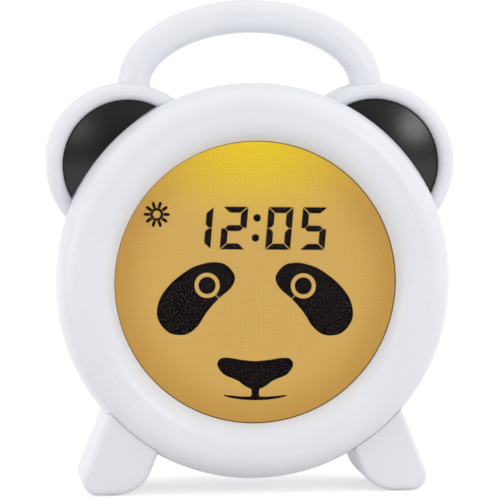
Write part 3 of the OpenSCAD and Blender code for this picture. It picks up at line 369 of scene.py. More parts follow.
def amber_diffuser():
    """Linen-grained polyester film lit from behind: amber, yellow towards the lamps at the top,
    browner towards its rim, where that is painted shade for the lip's shadow."""
    made, tree, place = blank("linen_grained_amber_film")
    middle = (-MARKS_ASIDE * MM, 0, (MARKS_LOW - CASE_Z) * MM)
    centred = add(tree, "VectorMath", {0: place, 1: middle}, operation="ADD")
    flat = add(tree, "VectorMath", {0: centred, 1: (1, 0, 1)}, operation="MULTIPLY")
    away = add(tree, "VectorMath", {0: flat}, operation="LENGTH").outputs["Value"]
    # painted shade: browner towards the rim, for the lip's shadow, which the emitted glow does not
    # take
    rim = add(tree, "MapRange", {
        "Value": away, "From Min": FILM_LIP_SHADE_R * MM, "From Max": FILM_EDGE_R * MM,
    }, interpolation_type="SMOOTHSTEP")
    amber = add(tree, "Mix", {
        "Factor": rim, COLOUR_A: linear("#d5ab5c"), COLOUR_B: linear("#c59549"),
    }, data_type="RGBA")
    squeezed = add(tree, "VectorMath", {0: centred, 1: (LAMP_ROW, 0, 1)}, operation="MULTIPLY")
    lamps = add(tree, "VectorMath", {0: squeezed, 1: (0, 0, FILM_EDGE_R * MM)},
                operation="DISTANCE").outputs["Value"]
    glow = add(tree, "MapRange", {"Value": lamps, "From Min": LAMP_REACH * MM, "From Max": 0},
               interpolation_type="SMOOTHSTEP")
    lit = add(tree, "Mix", {
        "Factor": glow, COLOUR_A: amber.outputs[MIXED], COLOUR_B: linear("#eec92c"),
    }, data_type="RGBA")
    # threads of the linen grain stand 0.45 mm apart; drawn at 0.8 mm so that they show
    threads = [
        add(tree, "TexWave", {
            "Vector": centred, "Scale": bands(0.8), "Distortion": 1.2,
            "Detail": 2.0, "Detail Scale": 1.4,
        }, bands_direction=axis).outputs["Fac"]
        for axis in ("X", "Z")
    ]
    weave = add(tree, "Math", {0: threads[0], 1: threads[1]}, operation="ADD")
    slubs = add(tree, "TexNoise", {"Vector": centred, "Scale": per(0.5), "Detail": 3.0})
    grain = add(tree, "Math", {0: weave, 1: slubs}, operation="ADD")
    bright = add(tree, "MapRange", {
        "Value": grain, "From Min": 0.5, "From Max": 2.5, "To Min": 0.989, "To Max": 1.011,
    })
    shade = add(tree, "VectorMath", {0: lit.outputs[MIXED], "Scale": bright}, operation="SCALE")
    relief = add(tree, "Bump", {"Height": weave, "Distance": 0.02 * MM, "Strength": 0.5})
    surface = add(tree, "BsdfPrincipled", {
        "Base Color": linear("#3a2a12"),
        "Roughness": 0.6,
        "Specular IOR Level": 0.2,
        "Emission Color": shade,
        "Emission Strength": 1.0,
        "Normal": relief,
    })
    add(tree, "OutputMaterial", {"Surface": surface})
    return made


def liquid_crystal():
    """Switched-on liquid crystal: near black, mottled faintly by its cell spacers, and it lets a
    little backlight through."""
    made, tree, place = blank("dark_liquid_crystal")
    spacers = add(tree, "TexVoronoi", {"Vector": place, "Scale": per(0.6)})
    leak = add(tree, "Mix", {
        "Factor": spacers, COLOUR_A: linear("#0e0607"), COLOUR_B: linear("#0c0505"),
    }, data_type="RGBA")
    surface = add(tree, "BsdfPrincipled", {
        "Base Color": linear("#060505"),
        "Roughness": 0.8,
        "Specular IOR Level": 0.0,
        "Emission Color": leak.outputs[MIXED],
        "Emission Strength": 1.0,
    })
    add(tree, "OutputMaterial", {"Surface": surface})
    return made


def dotted_guide():
    """Milky acrylic light guide with the white dots that throw its light forwards."""
    made, tree, place = blank("dotted_acrylic_guide")
    dots = add(tree, "TexVoronoi", {"Vector": place, "Scale": per(1.3), "Randomness": 0.0})
    spot = add(tree, "MapRange", {
        "Value": dots, "From Min": 0.22, "From Max": 0.3, "To Min": 1, "To Max": 0,
    })
    colour = add(tree, "Mix", {
        "Factor": spot, COLOUR_A: linear("#e9cf8f"), COLOUR_B: linear("#fff6dc"),
    }, data_type="RGBA")
    frosting = add(tree, "MapRange", {"Value": spot, "To Min": 0.12, "To Max": 0.5})
    surface = add(tree, "BsdfPrincipled", {
        "Base Color": colour.outputs[MIXED],
        "Transmission Weight": 0.4,
        "Roughness": frosting,
    })
    add(tree, "OutputMaterial", {"Surface": surface})
    return made


def phosphor_gel():
    """Yellow phosphor gel of the backlight's diodes, lit."""
    made, tree, place = blank("lit_phosphor_gel")
    grains = add(tree, "TexNoise", {"Vector": place, "Scale": per(0.3), "Detail": 4.0})
    colour = add(tree, "Mix", {
        "Factor": grains, COLOUR_A: linear("#e8c24a"), COLOUR_B: linear("#f6e08a"),
    }, data_type="RGBA")
    surface = add(tree, "BsdfPrincipled", {
        "Base Color": colour.outputs[MIXED],
        "Roughness": 0.35,
        "Emission Color": linear("#ffd75a"),
        "Emission Strength": 1.5,
    })
    add(tree, "OutputMaterial", {"Surface": surface})
    return made


def zebra_rubber():
    """Layered conductive rubber: grey silicone with black carbon layers 0.18 mm apart, drawn at
    0.6 mm so that they show."""
    made, tree, place = blank("layered_conductive_rubber")
    layers = add(tree, "TexWave", {"Vector": place, "Scale": bands(0.6)}, bands_direction="X")
    colour = add(tree, "Mix", {
        "Factor": layers.outputs["Fac"],
        COLOUR_A: linear("#2a2a2c"), COLOUR_B: linear("#a4a5a8"),
    }, data_type="RGBA")
    surface = add(tree, "BsdfPrincipled", {
        "Base Color": colour.outputs[MIXED],
        "Roughness": 0.75,
    })
    add(tree, "OutputMaterial", {"Surface": surface})
    return made


# ---------- board, speaker and cell materials ----------

# the gold band at a cell's top, and the soft edge of its print
CELL_BAND = 15
CELL_BAND_FADE = 0.4


def solder_mask():
    """Green solder mask over etched tracks: lighter where copper lies under it, and bare tinned
    pads."""
    made, tree, place = blank("green_solder_mask")
    tracks = add(tree, "TexVoronoi", {"Vector": place, "Scale": per(5), "Randomness": 0.7},
                 feature="DISTANCE_TO_EDGE", distance="EUCLIDEAN")
    copper = add(tree, "MapRange", {
        "Value": tracks, "From Min": 0.05, "From Max": 0.09, "To Min": 1, "To Max": 0,
    })
    pads = add(tree, "TexVoronoi", {"Vector": place, "Scale": per(3.4), "Randomness": 0.35})
    tin = add(tree, "MapRange", {
        "Value": pads, "From Min": 0.12, "From Max": 0.16, "To Min": 1, "To Max": 0,
    })
    green = add(tree, "Mix", {
        "Factor": copper, COLOUR_A: linear("#1d4f30"), COLOUR_B: linear("#2f7a49"),
    }, data_type="RGBA")
    colour = add(tree, "Mix", {
        "Factor": tin, COLOUR_A: green.outputs[MIXED], COLOUR_B: linear("#b4b3ab"),
    }, data_type="RGBA")
    bare_metal = add(tree, "MapRange", {"Value": tin, "To Min": 0, "To Max": 0.9})
    gloss = add(tree, "MapRange", {"Value": copper, "To Min": 0.42, "To Max": 0.3})
    relief = add(tree, "Bump", {"Height": copper, "Distance": 0.035 * MM, "Strength": 0.7})
    surface = add(tree, "BsdfPrincipled", {
        "Base Color": colour.outputs[MIXED],
        "Metallic": bare_metal,
        "Roughness": gloss,
        "Normal": relief,
    })
    add(tree, "OutputMaterial", {"Surface": surface})
    return made


def paper_cone():
    """Pressed black paper of the speaker cone: matt, with felted fibres."""
    made, tree, place = blank("pressed_paper")
    fibres = add(tree, "TexNoise", {
        "Vector": place, "Scale": per(0.35), "Detail": 6.0, "Distortion": 1.5,
    })
    tone = add(tree, "MapRange", {"Value": fibres, "From Min": 0.35, "From Max": 0.65})
    colour = add(tree, "Mix", {
        "Factor": tone, COLOUR_A: linear("#262627"), COLOUR_B: linear("#3c3b3a"),
    }, data_type="RGBA")
    relief = add(tree, "Bump", {"Height": fibres, "Distance": 0.03 * MM, "Strength": 1.0})
    surface = add(tree, "BsdfPrincipled", {
        "Base Color": colour.outputs[MIXED],
        "Roughness": 0.85,
        "Sheen Weight": 0.2,
        "Normal": relief,
    })
    add(tree, "OutputMaterial", {"Surface": surface})
    return made


def cell_wrap():
    """Printed shrink sleeve of a battery cell: dark green body with a gold band at the nub's end,
    under a thin gloss."""
    made, tree, place = blank("printed_shrink_sleeve")
    height = add(tree, "SeparateXYZ", {0: place}).outputs["Z"]
    band_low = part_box("middle_cell")[1].z - CELL_BAND * MM
    band = add(tree, "MapRange", {
        "Value": height, "From Min": band_low, "From Max": band_low + CELL_BAND_FADE * MM,
    })
    dots = add(tree, "TexNoise", {"Vector": place, "Scale": per(0.4), "Detail": 2.0})
    green = add(tree, "Mix", {
        "Factor": dots, COLOUR_A: linear("#123f2b"), COLOUR_B: linear("#1b5239"),
    }, data_type="RGBA")
    colour = add(tree, "Mix", {
        "Factor": band, COLOUR_A: green.outputs[MIXED], COLOUR_B: linear("#b98d3c"),
    }, data_type="RGBA")
    foil = add(tree, "MapRange", {"Value": band, "To Min": 0, "To Max": 0.7})
    gloss = add(tree, "MapRange", {
        "Value": dots, "From Min": 0.3, "From Max": 0.7, "To Min": 0.25, "To Max": 0.36,
    })
    surface = add(tree, "BsdfPrincipled", {
        "Base Color": colour.outputs[MIXED],
        "Metallic": foil,
        "Roughness": gloss,
        "Coat Weight": 0.5,
        "Coat Roughness": 0.1,
    })
    add(tree, "OutputMaterial", {"Surface": surface})
    return made


# ---------- the clock's finishes ----------

SHELL = moulded("satin_white_ABS", "#e3e5eb", "#e7e9ee", 0.36, grain=0.45, depth=0.006)
SEGMENT = liquid_crystal()

FINISHES = {
    "white_shell": SHELL,
    "black_insert": moulded("satin_black_ABS", "#0c0c0d", "#101011", 0.25,
                            grain=0.4, depth=0.004, mirror=0.38),
    "clear_lens": clear_sheet("polished_acrylic", "#fdfefe", 0.12, marks_size=0.9, gloss=0.03),
    "lcd_glass": clear_sheet("display_float_glass", "#fefefe", 0.04, marks_size=14, gloss=0.05),
    "amber_film": amber_diffuser(),
    # painted shade: a dark brown ring standing in for the shadow in the gap under the bezel's lip
    "painted_gap_shade": moulded("dark_brown_gap_shade", "#3a2a14", "#43311a", 0.6,
                          grain=0.2, depth=0.003, cloud=2),
    "guide_acrylic": dotted_guide(),
    "white_film": moulded("white_polyester_film", "#eeeeec", "#f6f6f4", 0.5,
                          grain=0.3, depth=0.004, cloud=9),
    "white_inner": moulded("matt_white_ABS", "#dcdcda", "#e4e4e2", 0.6, grain=0.5, depth=0.012),
    "circuit_board": solder_mask(),
    "led_phosphor": phosphor_gel(),
    "grey_elastomer": zebra_rubber(),
    "black_resin": moulded("matt_black_epoxy", "#1c1c1e", "#252527", 0.55,
                           grain=0.3, depth=0.015, cloud=4),
    "zinc_steel": plated("zinc_plated_steel", "#b3b7bd", "#c9ccd0", 0.32, scratch=0.25),
    "blue_sleeve": moulded("blue_shrink_sleeve", "#122a52", "#17346a", 0.3,
                           grain=0.6, depth=0.01, cloud=3),
    "white_nylon": moulded("natural_nylon", "#e3dfd0", "#ece8dc", 0.45,
                           grain=0.5, depth=0.01, cloud=4),
    "speaker_paper": paper_cone(),
    "magnet_grey": plated("dull_plated_steel", "#5a5b5e", "#6c6d70", 0.5, scratch=0.3),
    "red_wire": moulded("red_PVC", "#9c1b16", "#b2241c", 0.42, grain=0.3, depth=0.006, cloud=5),
    "black_wire": moulded("black_PVC", "#161617", "#202022", 0.42,
                          grain=0.3, depth=0.006, cloud=5),
    "grey_wire": moulded("grey_PVC", "#8b8e93", "#9b9ea3", 0.42, grain=0.3, depth=0.006, cloud=5),
    "key_plastic": moulded("fine_grained_grey_ABS", "#d0d3d9", "#d6d9df", 0.5,
                           grain=0.35, depth=0.014, cloud=6),
    "cell_sleeve": cell_wrap(),
    "nickel_steel": plated("nickel_plated_spring_steel", "#c0bbae", "#d4cfc2", 0.26, scratch=0.2),
    "foot_rubber": moulded("pale_grey_rubber", "#c6c8cc", "#cdcfd3", 0.8,
                           grain=0.4, depth=0.03, cloud=3, sheen=0.3),
}


def dress_frame():
    """Gives every CAD node the finish of its slot."""
    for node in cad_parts.values():
        for place in node.material_slots:
            place.material = FINISHES[place.material.name.split(".")[0]]


# ---------- display ----------

DIGIT_W = 8.1
DIGIT_H = 13.7
BAR_T = 1.95
UPRIGHT_T = 2.15
BAR_GAP = 0.13 * math.sqrt(2)
DIGIT_SLANT = 0.085
DIGIT_Z = 17.8
DIGITS = {"1": "bc", "2": "abged", "0": "abcdef", "5": "afgcd"}
TIME = (("1", -17.96), ("2", -6.85), ("0", 7.76), ("5", 18.86))
COLON = ((0.58, 21.1), (0.03, 14.7))
COLON_R = 1.22

SUN_X, SUN_Z = -31.6, 22.0
SUN_OUT_R = 2.1
SUN_IN_R = 1.24
RAYS = 10
RAY_GAP = 0.05
RAY_TIP = 4.2
RAY_HALF = 0.5
RAY_END_TURNS = (0.5, 1.0, math.pi / 2, 2.14, 2.64)

PATCH = [
    (-12.9, 6.86), (-8.99, 5.88), (-6.35, 2.3), (-7.62, -1.34), (-11.53, -4.8), (-15.44, -9.25),
    (-18.37, -13.74), (-22.27, -16.4), (-27.6, -15.8), (-31.2, -11.2), (-30.67, -5.44),
    (-26.96, -0.07), (-21.1, 4.52), (-17.0, 6.2),
]
EYE = (-15.5, -0.6)
EYE_SPREAD = 0.2
EYE_RING_R = 4.05
EYE_RING_STEPS = 72
PUPIL_R = 2.76
SLIT = 0.13
SLIT_WAY = math.radians(-48)

NOSE = [
    (0, -24.85), (4.4, -24.45), (8.6, -23.8), (11.2, -24.1), (12.25, -26.1), (10.4, -29.0),
    (7.1, -30.55), (5.3, -31.4), (3.6, -32.75), (1.45, -33.75), (-1.45, -33.75), (-3.6, -32.75),
    (-5.3, -31.4), (-7.1, -30.55), (-10.4, -29.0), (-12.25, -26.1), (-11.2, -24.1), (-8.6, -23.8),
    (-4.4, -24.45),
]
NOSE_FOOT = 9
MOUTH = [
    (1.2, -34.5), (1.2, -35.6), (1.32, -36.05), (1.75, -36.3), (4.5, -36.28), (10.2, -35.75),
    (10.1, -36.15), (7.4, -36.85), (3.8, -37.35), (0, -37.5),
]


def raised(loop):
    """Moves a loop drawn about the display's centre to its place on the glass."""
    return [(x + MARKS_ASIDE, z + CASE_Z - MARKS_LOW - x * MARKS_SKEW) for x, z in loop]


def show(name, shapes):
    """Makes a group of dark segments, each a list of loops, in the gap behind the rear glass."""
    form = bmesh.new()
    for loops in shapes:
        plate_into(form, [raised(loop) for loop in loops],
                   REAR_GLASS_BACK + SEGMENT_GAP, DIFFUSER_FRONT - SEGMENT_GAP)
    piece(name, mesh_of(form, name), "clock", SEGMENT, smooth=False)


def segment(letter):
    """One bar of a seven-bar digit, from the digit's lower left corner."""
    w, h, t, u, s = DIGIT_W, DIGIT_H, BAR_T, UPRIGHT_T, BAR_GAP
    m = h / 2
    if letter == "g":
        return [(t / 2 + s, m), (t + s, m + t / 2), (w - t - s, m + t / 2),
                (w - t / 2 - s, m), (w - t - s, m - t / 2), (t + s, m - t / 2)]
    if letter in "ad":
        shape = [(s, h), (w - s, h), (w - u - s, h - t), (u + s, h - t)]
    else:
        shape = [(w, h - s), (w, m + s / 2), (w - u / 2, m + s / 2), (w - u, m + t / 2 + s),
                 (w - u, h - t - s)]
    if letter in "cde":
        shape = [(x, h - z) for x, z in shape]
    if letter in "ef":
        shape = [(w - x, z) for x, z in shape]
    return shape


def make_time():
    bars = []
    for digit, middle in TIME:
        for letter in DIGITS[digit]:
            bars.append([[
                (middle - DIGIT_W / 2 + x + (z - DIGIT_H / 2) * DIGIT_SLANT,
                 DIGIT_Z - DIGIT_H / 2 + z)
                for x, z in segment(letter)
            ]])
    show("time_bars", bars)
    show("time_colon", [[circle(x, z, COLON_R)] for x, z in COLON])


def make_sun():
    """A ring and its rays, each with a rounded end."""
    ray = [(SUN_OUT_R + RAY_GAP, -RAY_HALF), (RAY_TIP - RAY_HALF, -RAY_HALF)]
    ray += [(RAY_TIP - RAY_HALF + RAY_HALF * math.sin(a), -RAY_HALF * math.cos(a))
            for a in RAY_END_TURNS]
    ray += [(RAY_TIP - RAY_HALF, RAY_HALF), (SUN_OUT_R + RAY_GAP, RAY_HALF)]
    shapes = [[circle(SUN_X, SUN_Z, SUN_OUT_R), circle(SUN_X, SUN_Z, SUN_IN_R)]]
    for i in range(RAYS):
        turn = math.radians(360 / RAYS * i)
        ahead, aside = (math.cos(turn), math.sin(turn)), (-math.sin(turn), math.cos(turn))
        shapes.append([[
            (SUN_X + along * ahead[0] + across * aside[0],
             SUN_Z + along * ahead[1] + across * aside[1])
            for along, across in ray
        ]])
    show("sun_sign", shapes)


def make_eyes():
    """Patches with a clear ring round each pupil, fed by a slit from the patch's near side."""
    patch = [(x - EYE_SPREAD, z) for x, z in smooth_loop(PATCH)]
    middle = Vector(EYE)
    ahead = Vector((math.cos(SLIT_WAY), math.sin(SLIT_WAY)))
    aside = Vector((-math.sin(SLIT_WAY), math.cos(SLIT_WAY)))

    def side(point):
        return (Vector(point) - middle).dot(aside)

    def reach(point):
        return (Vector(point) - middle).dot(ahead)

    cut = next(i for i in range(len(patch))
               if side(patch[i]) > 0 >= side(patch[(i + 1) % len(patch)]) and reach(patch[i]) > 0)
    inlet = [middle + ahead * reach(patch[cut]) + aside * k for k in (SLIT, -SLIT)]
    start = math.asin(SLIT / EYE_RING_R)
    hole = []
    for i in range(EYE_RING_STEPS + 1):
        a = SLIT_WAY + start + (math.tau - 2 * start) * i / EYE_RING_STEPS
        hole.append(middle + EYE_RING_R * Vector((math.cos(a), math.sin(a))))
    outline = patch[cut + 1:] + patch[:cut + 1] + [inlet[0]] + hole + [inlet[1]]
    outline = [tuple(p) for p in outline]
    show("eye_patches", [[outline], [mirrored(outline)]])
    pupil = circle(*EYE, PUPIL_R)
    show("eye_pupils", [[pupil], [mirrored(pupil)]])


def make_nose():
    """The nose's outline, opened at its foot, where the stem of the mouth joins it."""
    nose = smooth_loop(NOSE)
    right, left = nose[:NOSE_FOOT * CURVE_STEPS + 1], nose[(NOSE_FOOT + 1) * CURVE_STEPS:]
    show("nose_and_mouth", [[right + MOUTH + mirrored(MOUTH[:-1]) + left]])


def make_shade_ring():
    """Dark ring of painted shade on the lens under the lip, for the gap's shadow; a hairline of it
    shows round the opening.
    """
    form = bmesh.new()
    rims = [circle(0, CASE_Z, r, steps=192)
            for r in (LENS_R - SHADE_RING_MARGIN, OPENING_R - SHADE_RING_SHOWS)]
    plate_into(form, rims, lens_low.y - SHADE_RING_PROUD, lens_low.y + SHADE_RING_SUNK)
    piece("lens_shade_ring", mesh_of(form, "lens_shade_ring"), "clock",
          FINISHES["painted_gap_shade"], smooth=False)


# ---------- carry handle ----------

def bar_into(form):
    """Adds the handle's bar, swept from root to root."""
    section = []
    for side in (1, -1):
        for i in range(BAR_STEPS + 1):
            a = math.pi * i / BAR_STEPS
            section.append((side * BAR_R * math.cos(a), side * (BAR_FLAT + BAR_R * math.sin(a))))
    straight = (HANDLE_FOOT_Z, HANDLE_Z - HANDLE_STRAIGHT)
    stations = [((HANDLE_HALF, z), (1.0, 0.0)) for z in straight]
    for i in range(ARCH_STEPS + 1):
        a = math.pi * i / ARCH_STEPS
        way = Vector((HANDLE_RISE * math.cos(a), HANDLE_HALF * math.sin(a))).normalized()
        stations.append(((HANDLE_HALF * math.cos(a), HANDLE_Z + HANDLE_RISE * math.sin(a)), way))
    stations += [((-HANDLE_HALF, z), (-1.0, 0.0)) for z in reversed(straight)]
    rings = [
        [form.verts.new(((x + way[0] * out) * MM, (HANDLE_Y + back) * MM, (z + way[1] * out) * MM))
         for out, back in section]
        for (x, z), way in stations
    ]
    join_rings(form, rings)
    form.faces.new(rings[0])
    form.faces.new(rings[-1])


def tang_into(form, side):
    """Adds the screwed tang of one root, with its eyelet."""
    x, half = side * HANDLE_HALF, TANG_W / 2
    outline = [(x - half, HANDLE_FOOT_Z + TANG_LAP), (x - half, EYELET_Z)]
    for i in range(1, BAR_STEPS):
        a = math.pi * i / BAR_STEPS
        outline.append((x - half * math.cos(a), EYELET_Z - half * math.sin(a)))
    outline += [(x + half, EYELET_Z), (x + half, HANDLE_FOOT_Z + TANG_LAP)]
    plate_into(form, [outline, circle(x, EYELET_Z, EYELET_R, steps=32)], TANG_FRONT, TANG_BACK)


def collar_into(form, side):
    """Adds the collar behind one root, which fills the back of its slot, flush with the ear."""
    half, top_r = BAR_R - COLLAR_SIDE_GAP, EAR_RIM_MID + EAR_RIM_R - COLLAR_TOP_GAP
    root = side * HANDLE_HALF
    outline = [(root - half, HANDLE_FOOT_Z), (root + half, HANDLE_FOOT_Z)]
    for i in range(COLLAR_STEPS + 1):
        x = root + half - 2 * half * i / COLLAR_STEPS
        outline.append((x, EAR_Z + math.sqrt(top_r ** 2 - (x - side * EAR_X) ** 2)))
    plate_into(form, [outline], HANDLE_Y, handle_high.y + COLLAR_BEHIND)


def make_handle():
    """Smooth bar, with its two tangs inside the ears and the collars that close their slots."""
    form = bmesh.new()
    bar_into(form)
    for side in (1, -1):
        tang_into(form, side)
        collar_into(form, side)
    mesh = mesh_of(form, "handle_bar")
    mesh.set_sharp_from_angle(angle=math.radians(40))
    made = piece("handle_bar", mesh, "clock", SHELL)
    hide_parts("carry_handle")


# ---------- ear inserts ----------

def dome_y(r):
    """Depth of the insert's dome at this distance from its middle."""
    return DOME_TOP + r * r / (2 * DOME_R)


def insert_profile():
    """Section of an ear insert: a dome, a small edge radius, and a skirt that follows the rolled
    rim down to the pocket."""
    roll_r = EAR_RIM_R + SKIRT_GAP
    skirt = []
    for turn in SKIRT_TURNS:
        a = math.radians(turn)
        skirt.append((EAR_RIM_MID - roll_r * math.sin(a),
                      EAR_FLOOR - EAR_RIM_RAISE - roll_r * math.cos(a)))
    skirt = [(r, y) for r, y in skirt if y > dome_y(r) + DOME_EDGE_R]
    top_r = skirt[0][0]
    edge_r = top_r - DOME_EDGE_R
    dome = [(r, dome_y(r)) for r in [DOME_STEP * i for i in range(DOME_STEPS)] if r < edge_r]
    edge = [(edge_r, dome_y(edge_r)),
            (top_r - DOME_EDGE_R * DOME_EDGE_IN, dome_y(top_r) + DOME_EDGE_R * DOME_EDGE_DOWN)]
    return dome + edge + skirt + [(skirt[-1][0], EAR_FLOOR), (0, EAR_FLOOR)]


def cut_away(made, form):
    """Cuts a closed form out of a piece, for good."""
    knife = placed("knife", mesh_of(form, "knife"))
    cut = made.modifiers.new("cut", "BOOLEAN")
    cut.operation = "DIFFERENCE"
    cut.solver = "EXACT"
    cut.object = knife
    bpy.context.view_layer.update()
    view = bpy.context.evaluated_depsgraph_get()
    shaped = bpy.data.meshes.new_from_object(made.evaluated_get(view))
    made.modifiers.clear()
    made.data = shaped
    bpy.data.objects.remove(knife)


def make_ear_inserts():
    """Domed inserts, cut to the case's circle."""
    case_r, reach = CASE_R + CASE_GAP, 40
    for name, side in (("left_ear_insert", -1), ("right_ear_insert", 1)):
        form = bmesh.new()
        turned_into(form, insert_profile(), side * EAR_X, EAR_Z)
        made = piece(name.replace("insert", "dome"), mesh_of(form, name), "clock",
                     FINISHES["black_insert"])
        case = bmesh.new()
        turned_into(case, [(0, -reach), (case_r, -reach), (case_r, reach), (0, reach)],
                    0, CASE_Z, steps=360)
        cut_away(made, case)
        made.data.set_sharp_from_angle(angle=math.radians(50))
        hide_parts(name)


# ---------- legs ----------

def corner_middle(r):
    """Centre of a rounding of this radius in the foot's outer corner."""
    return Vector((LEG_OUT - r / math.tan((math.pi / 2 - LEG_LEAN) / 2), LEG_LOW + r))


def fuller_corner(x, z):
    """Moves a point of the foot's outer rounding out to the smaller rounding."""
    old, new = corner_middle(CAD_CORNER_R), corner_middle(FULL_CORNER_R)
    way = Vector((x, z)) - old
    away = way.length
    if away < CORNER_STILL_R:
        return x, z
    way /= away
    turn = math.atan2(way.y, way.x)
    if not -math.pi / 2 < turn < LEG_LEAN:
        return x, z
    outward = Vector((math.cos(LEG_LEAN), math.sin(LEG_LEAN)))
    low = new + Vector((0, -FULL_CORNER_R)) - old
    high = new + FULL_CORNER_R * outward - old
    if turn < math.atan2(low.y, low.x):
        reach = -CAD_CORNER_R / way.y
    elif turn > math.atan2(high.y, high.x):
        reach = CAD_CORNER_R / way.dot(outward)
    else:
        along = way.dot(new - old)
        reach = along + math.sqrt(along ** 2 - (new - old).length_squared + FULL_CORNER_R ** 2)
    share = min(1, (away - CORNER_STILL_R) / CORNER_FADE)
    away *= 1 + (reach / CAD_CORNER_R - 1) * share
    return tuple(old + way * away)


def make_legs():
    """Legs with a fuller outer corner at the foot than their CAD solids have."""
    for name, side in (("left_leg", -1), ("right_leg", 1)):
        form = bmesh.new()
        form.from_mesh(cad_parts[name].data)
        bmesh.ops.remove_doubles(form, verts=form.verts, dist=0.0005 * MM)
        for vertex in form.verts:
            x, z = fuller_corner(side * vertex.co.x / MM, vertex.co.z / MM)
            vertex.co.x, vertex.co.z = side * x * MM, z * MM
        mesh = mesh_of(form, name)
        mesh.set_sharp_from_angle(angle=math.radians(32))
        made = piece(name + "_moulding", mesh, "clock", SHELL)
        # flat faces keep flat shading up to their rounded edges
        made.modifiers.new("flat_faces", "WEIGHTED_NORMAL").keep_sharp = True
        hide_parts(name)


# ---------- stage, light and camera, in metres ----------

# the floor glows weakly under the clock, so that its shadow shows, and is all white further out
FLOOR_R = 6.0
FLOOR_NEAR = 0.18
FLOOR_FAR = 0.7
FLOOR_GLOW = 0.61

# light from the sides and from overhead, and where gloss starts to mirror the white behind
TENT_SIDES = 0.68
TENT_TOP = 0.97
TENT_BEHIND = 0.3

LAMP_AIM = Vector((0, 0, 0.07))
LAMP_AWAY = 1.6
# name, degrees right of the front, degrees above the floor, watts, size
SOFTBOXES = (
    ("right_softbox", 36, 19, 4.2, 0.46),
    ("left_softbox", -28, 20, 1.2, 0.45),
    ("low_left_softbox", -75, 8, 3.8, 0.8),
    ("low_right_softbox", 75, 8, 1.8, 0.8),
)

CAMERA_TURN = -7.02
CAMERA_HEIGHT = 4.495
CAMERA_AWAY = 1.1
CAMERA_AIM = Vector((0.53, 0, CASE_Z + 8.84)) * MM


def studio_floor():
    """Pale floor that is white to the eye and keeps the clock's soft shadow."""
    made, tree, place = blank("matt_white_card")
    fibres = add(tree, "TexNoise", {"Vector": place, "Scale": per(1.2), "Detail": 3.0})
    card, shadow = (
        add(tree, "BsdfDiffuse", {
            "Color": add(tree, "Mix", {
                "Factor": fibres, COLOUR_A: linear(low), COLOUR_B: linear(high),
            }, data_type="RGBA").outputs[MIXED],
        })
        for low, high in (("#e2e2e3", "#e6e6e7"), ("#c2c3c4", "#c7c8c9"))
    )
    away = add(tree, "VectorMath", {0: place}, operation="LENGTH").outputs["Value"]
    far = add(tree, "MapRange", {"Value": away, "From Min": FLOOR_NEAR, "From Max": FLOOR_FAR},
              interpolation_type="SMOOTHSTEP")
    strength = add(tree, "MapRange", {"Value": far, "To Min": FLOOR_GLOW, "To Max": 1.0})
    glow = add(tree, "Emission", {"Color": (1, 1, 1, 1), "Strength": strength})
    seen = add(tree, "AddShader", {0: shadow, 1: glow})
    rays = add(tree, "LightPath").outputs
    looked_at = rays["Is Camera Ray"]
    for kind in ("Is Glossy Ray", "Is Transmission Ray"):
        looked_at = add(tree, "Math", {0: looked_at, 1: rays[kind]}, operation="MAXIMUM")
    surface = add(tree, "MixShader", {0: looked_at, 1: card, 2: seen})
    add(tree, "OutputMaterial", {"Surface": surface})
    return made


def make_floor():
    form = bmesh.new()
    bmesh.ops.create_circle(form, cap_ends=True, radius=FLOOR_R, segments=96)
    floor = placed("studio_floor", mesh_of(form, "studio_floor"))
    floor.data.materials.append(studio_floor())


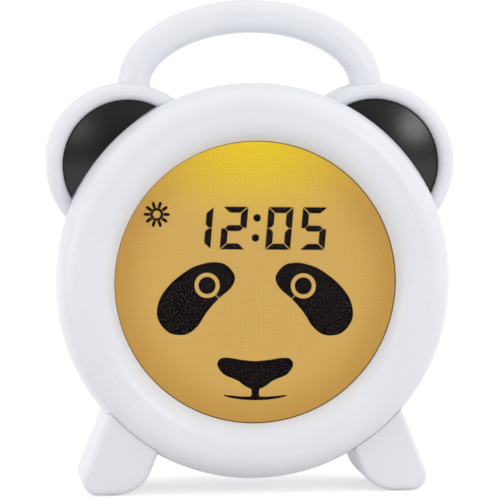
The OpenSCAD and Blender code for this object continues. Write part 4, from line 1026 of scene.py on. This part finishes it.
def make_tent():
    """A light tent: bright overhead, softer at its sides, dark in front and behind; what looks past
    the clock sees white."""
    world = bpy.data.worlds.new("studio")
    bpy.context.scene.world = world
    world.use_nodes = True
    tree = world.node_tree
    tree.nodes.clear()
    way = add(tree, "TexCoord").outputs["Generated"]
    way = add(tree, "SeparateXYZ", {0: way}).outputs
    across = add(tree, "Math", {0: way["X"]}, operation="ABSOLUTE")
    roof = add(tree, "MapRange", {"Value": way["Z"], "To Min": 0, "To Max": TENT_TOP})
    tent = add(tree, "Math", {0: across, 1: TENT_SIDES, 2: roof}, operation="MULTIPLY_ADD")
    rays = add(tree, "LightPath").outputs
    behind = add(tree, "MapRange", {
        "Value": way["Y"], "From Min": 0.0, "From Max": TENT_BEHIND, "To Min": 0, "To Max": 1,
    })
    mirrored_white = add(tree, "Math", {0: rays["Is Glossy Ray"], 1: behind}, operation="MULTIPLY")
    past = add(tree, "Math", {0: rays["Is Camera Ray"], 1: rays["Is Transmission Ray"]},
               operation="MAXIMUM")
    white = add(tree, "Math", {0: past, 1: mirrored_white}, operation="MAXIMUM")
    strength = add(tree, "Mix", {"Factor": white, "A": tent, "B": 1.0})
    sky = add(tree, "Background", {"Color": (1, 1, 1, 1), "Strength": strength})
    add(tree, "OutputWorld", {"Surface": sky})


def out_to(turn, height):
    """Direction from the clock to this many degrees right of the front and above the floor."""
    across, up = math.radians(turn), math.radians(height)
    return Vector((math.sin(across) * math.cos(up), -math.cos(across) * math.cos(up),
                   math.sin(up)))


def aimed(name, data, place, way):
    """Adds a lamp or camera at a place, looking along a direction."""
    made = placed(name, data)
    made.location = place
    made.rotation_mode = "QUATERNION"
    made.rotation_quaternion = way.to_track_quat("-Z", "Y")
    return made


def make_softboxes():
    for name, turn, height, watts, size in SOFTBOXES:
        lamp = bpy.data.lights.new(name, "AREA")
        lamp.shape = "DISK"
        lamp.size = size
        lamp.energy = watts
        place = LAMP_AIM + LAMP_AWAY * out_to(turn, height)
        aimed(name, lamp, place, LAMP_AIM - place)


def make_camera():
    eye = bpy.data.cameras.new("camera")
    eye.lens = 244.5
    eye.sensor_width = 36
    eye.clip_start, eye.clip_end = 0.05, 50
    back = out_to(CAMERA_TURN, CAMERA_HEIGHT)
    bpy.context.scene.camera = aimed("camera", eye, CAMERA_AIM + back * CAMERA_AWAY, -back)


make_camera()
dress_frame()
make_time()
make_sun()
make_eyes()
make_nose()
make_shade_ring()
make_handle()
make_ear_inserts()
make_legs()
make_floor()
make_tent()
make_softboxes()
bpy.context.scene.view_settings.view_transform = "Standard"
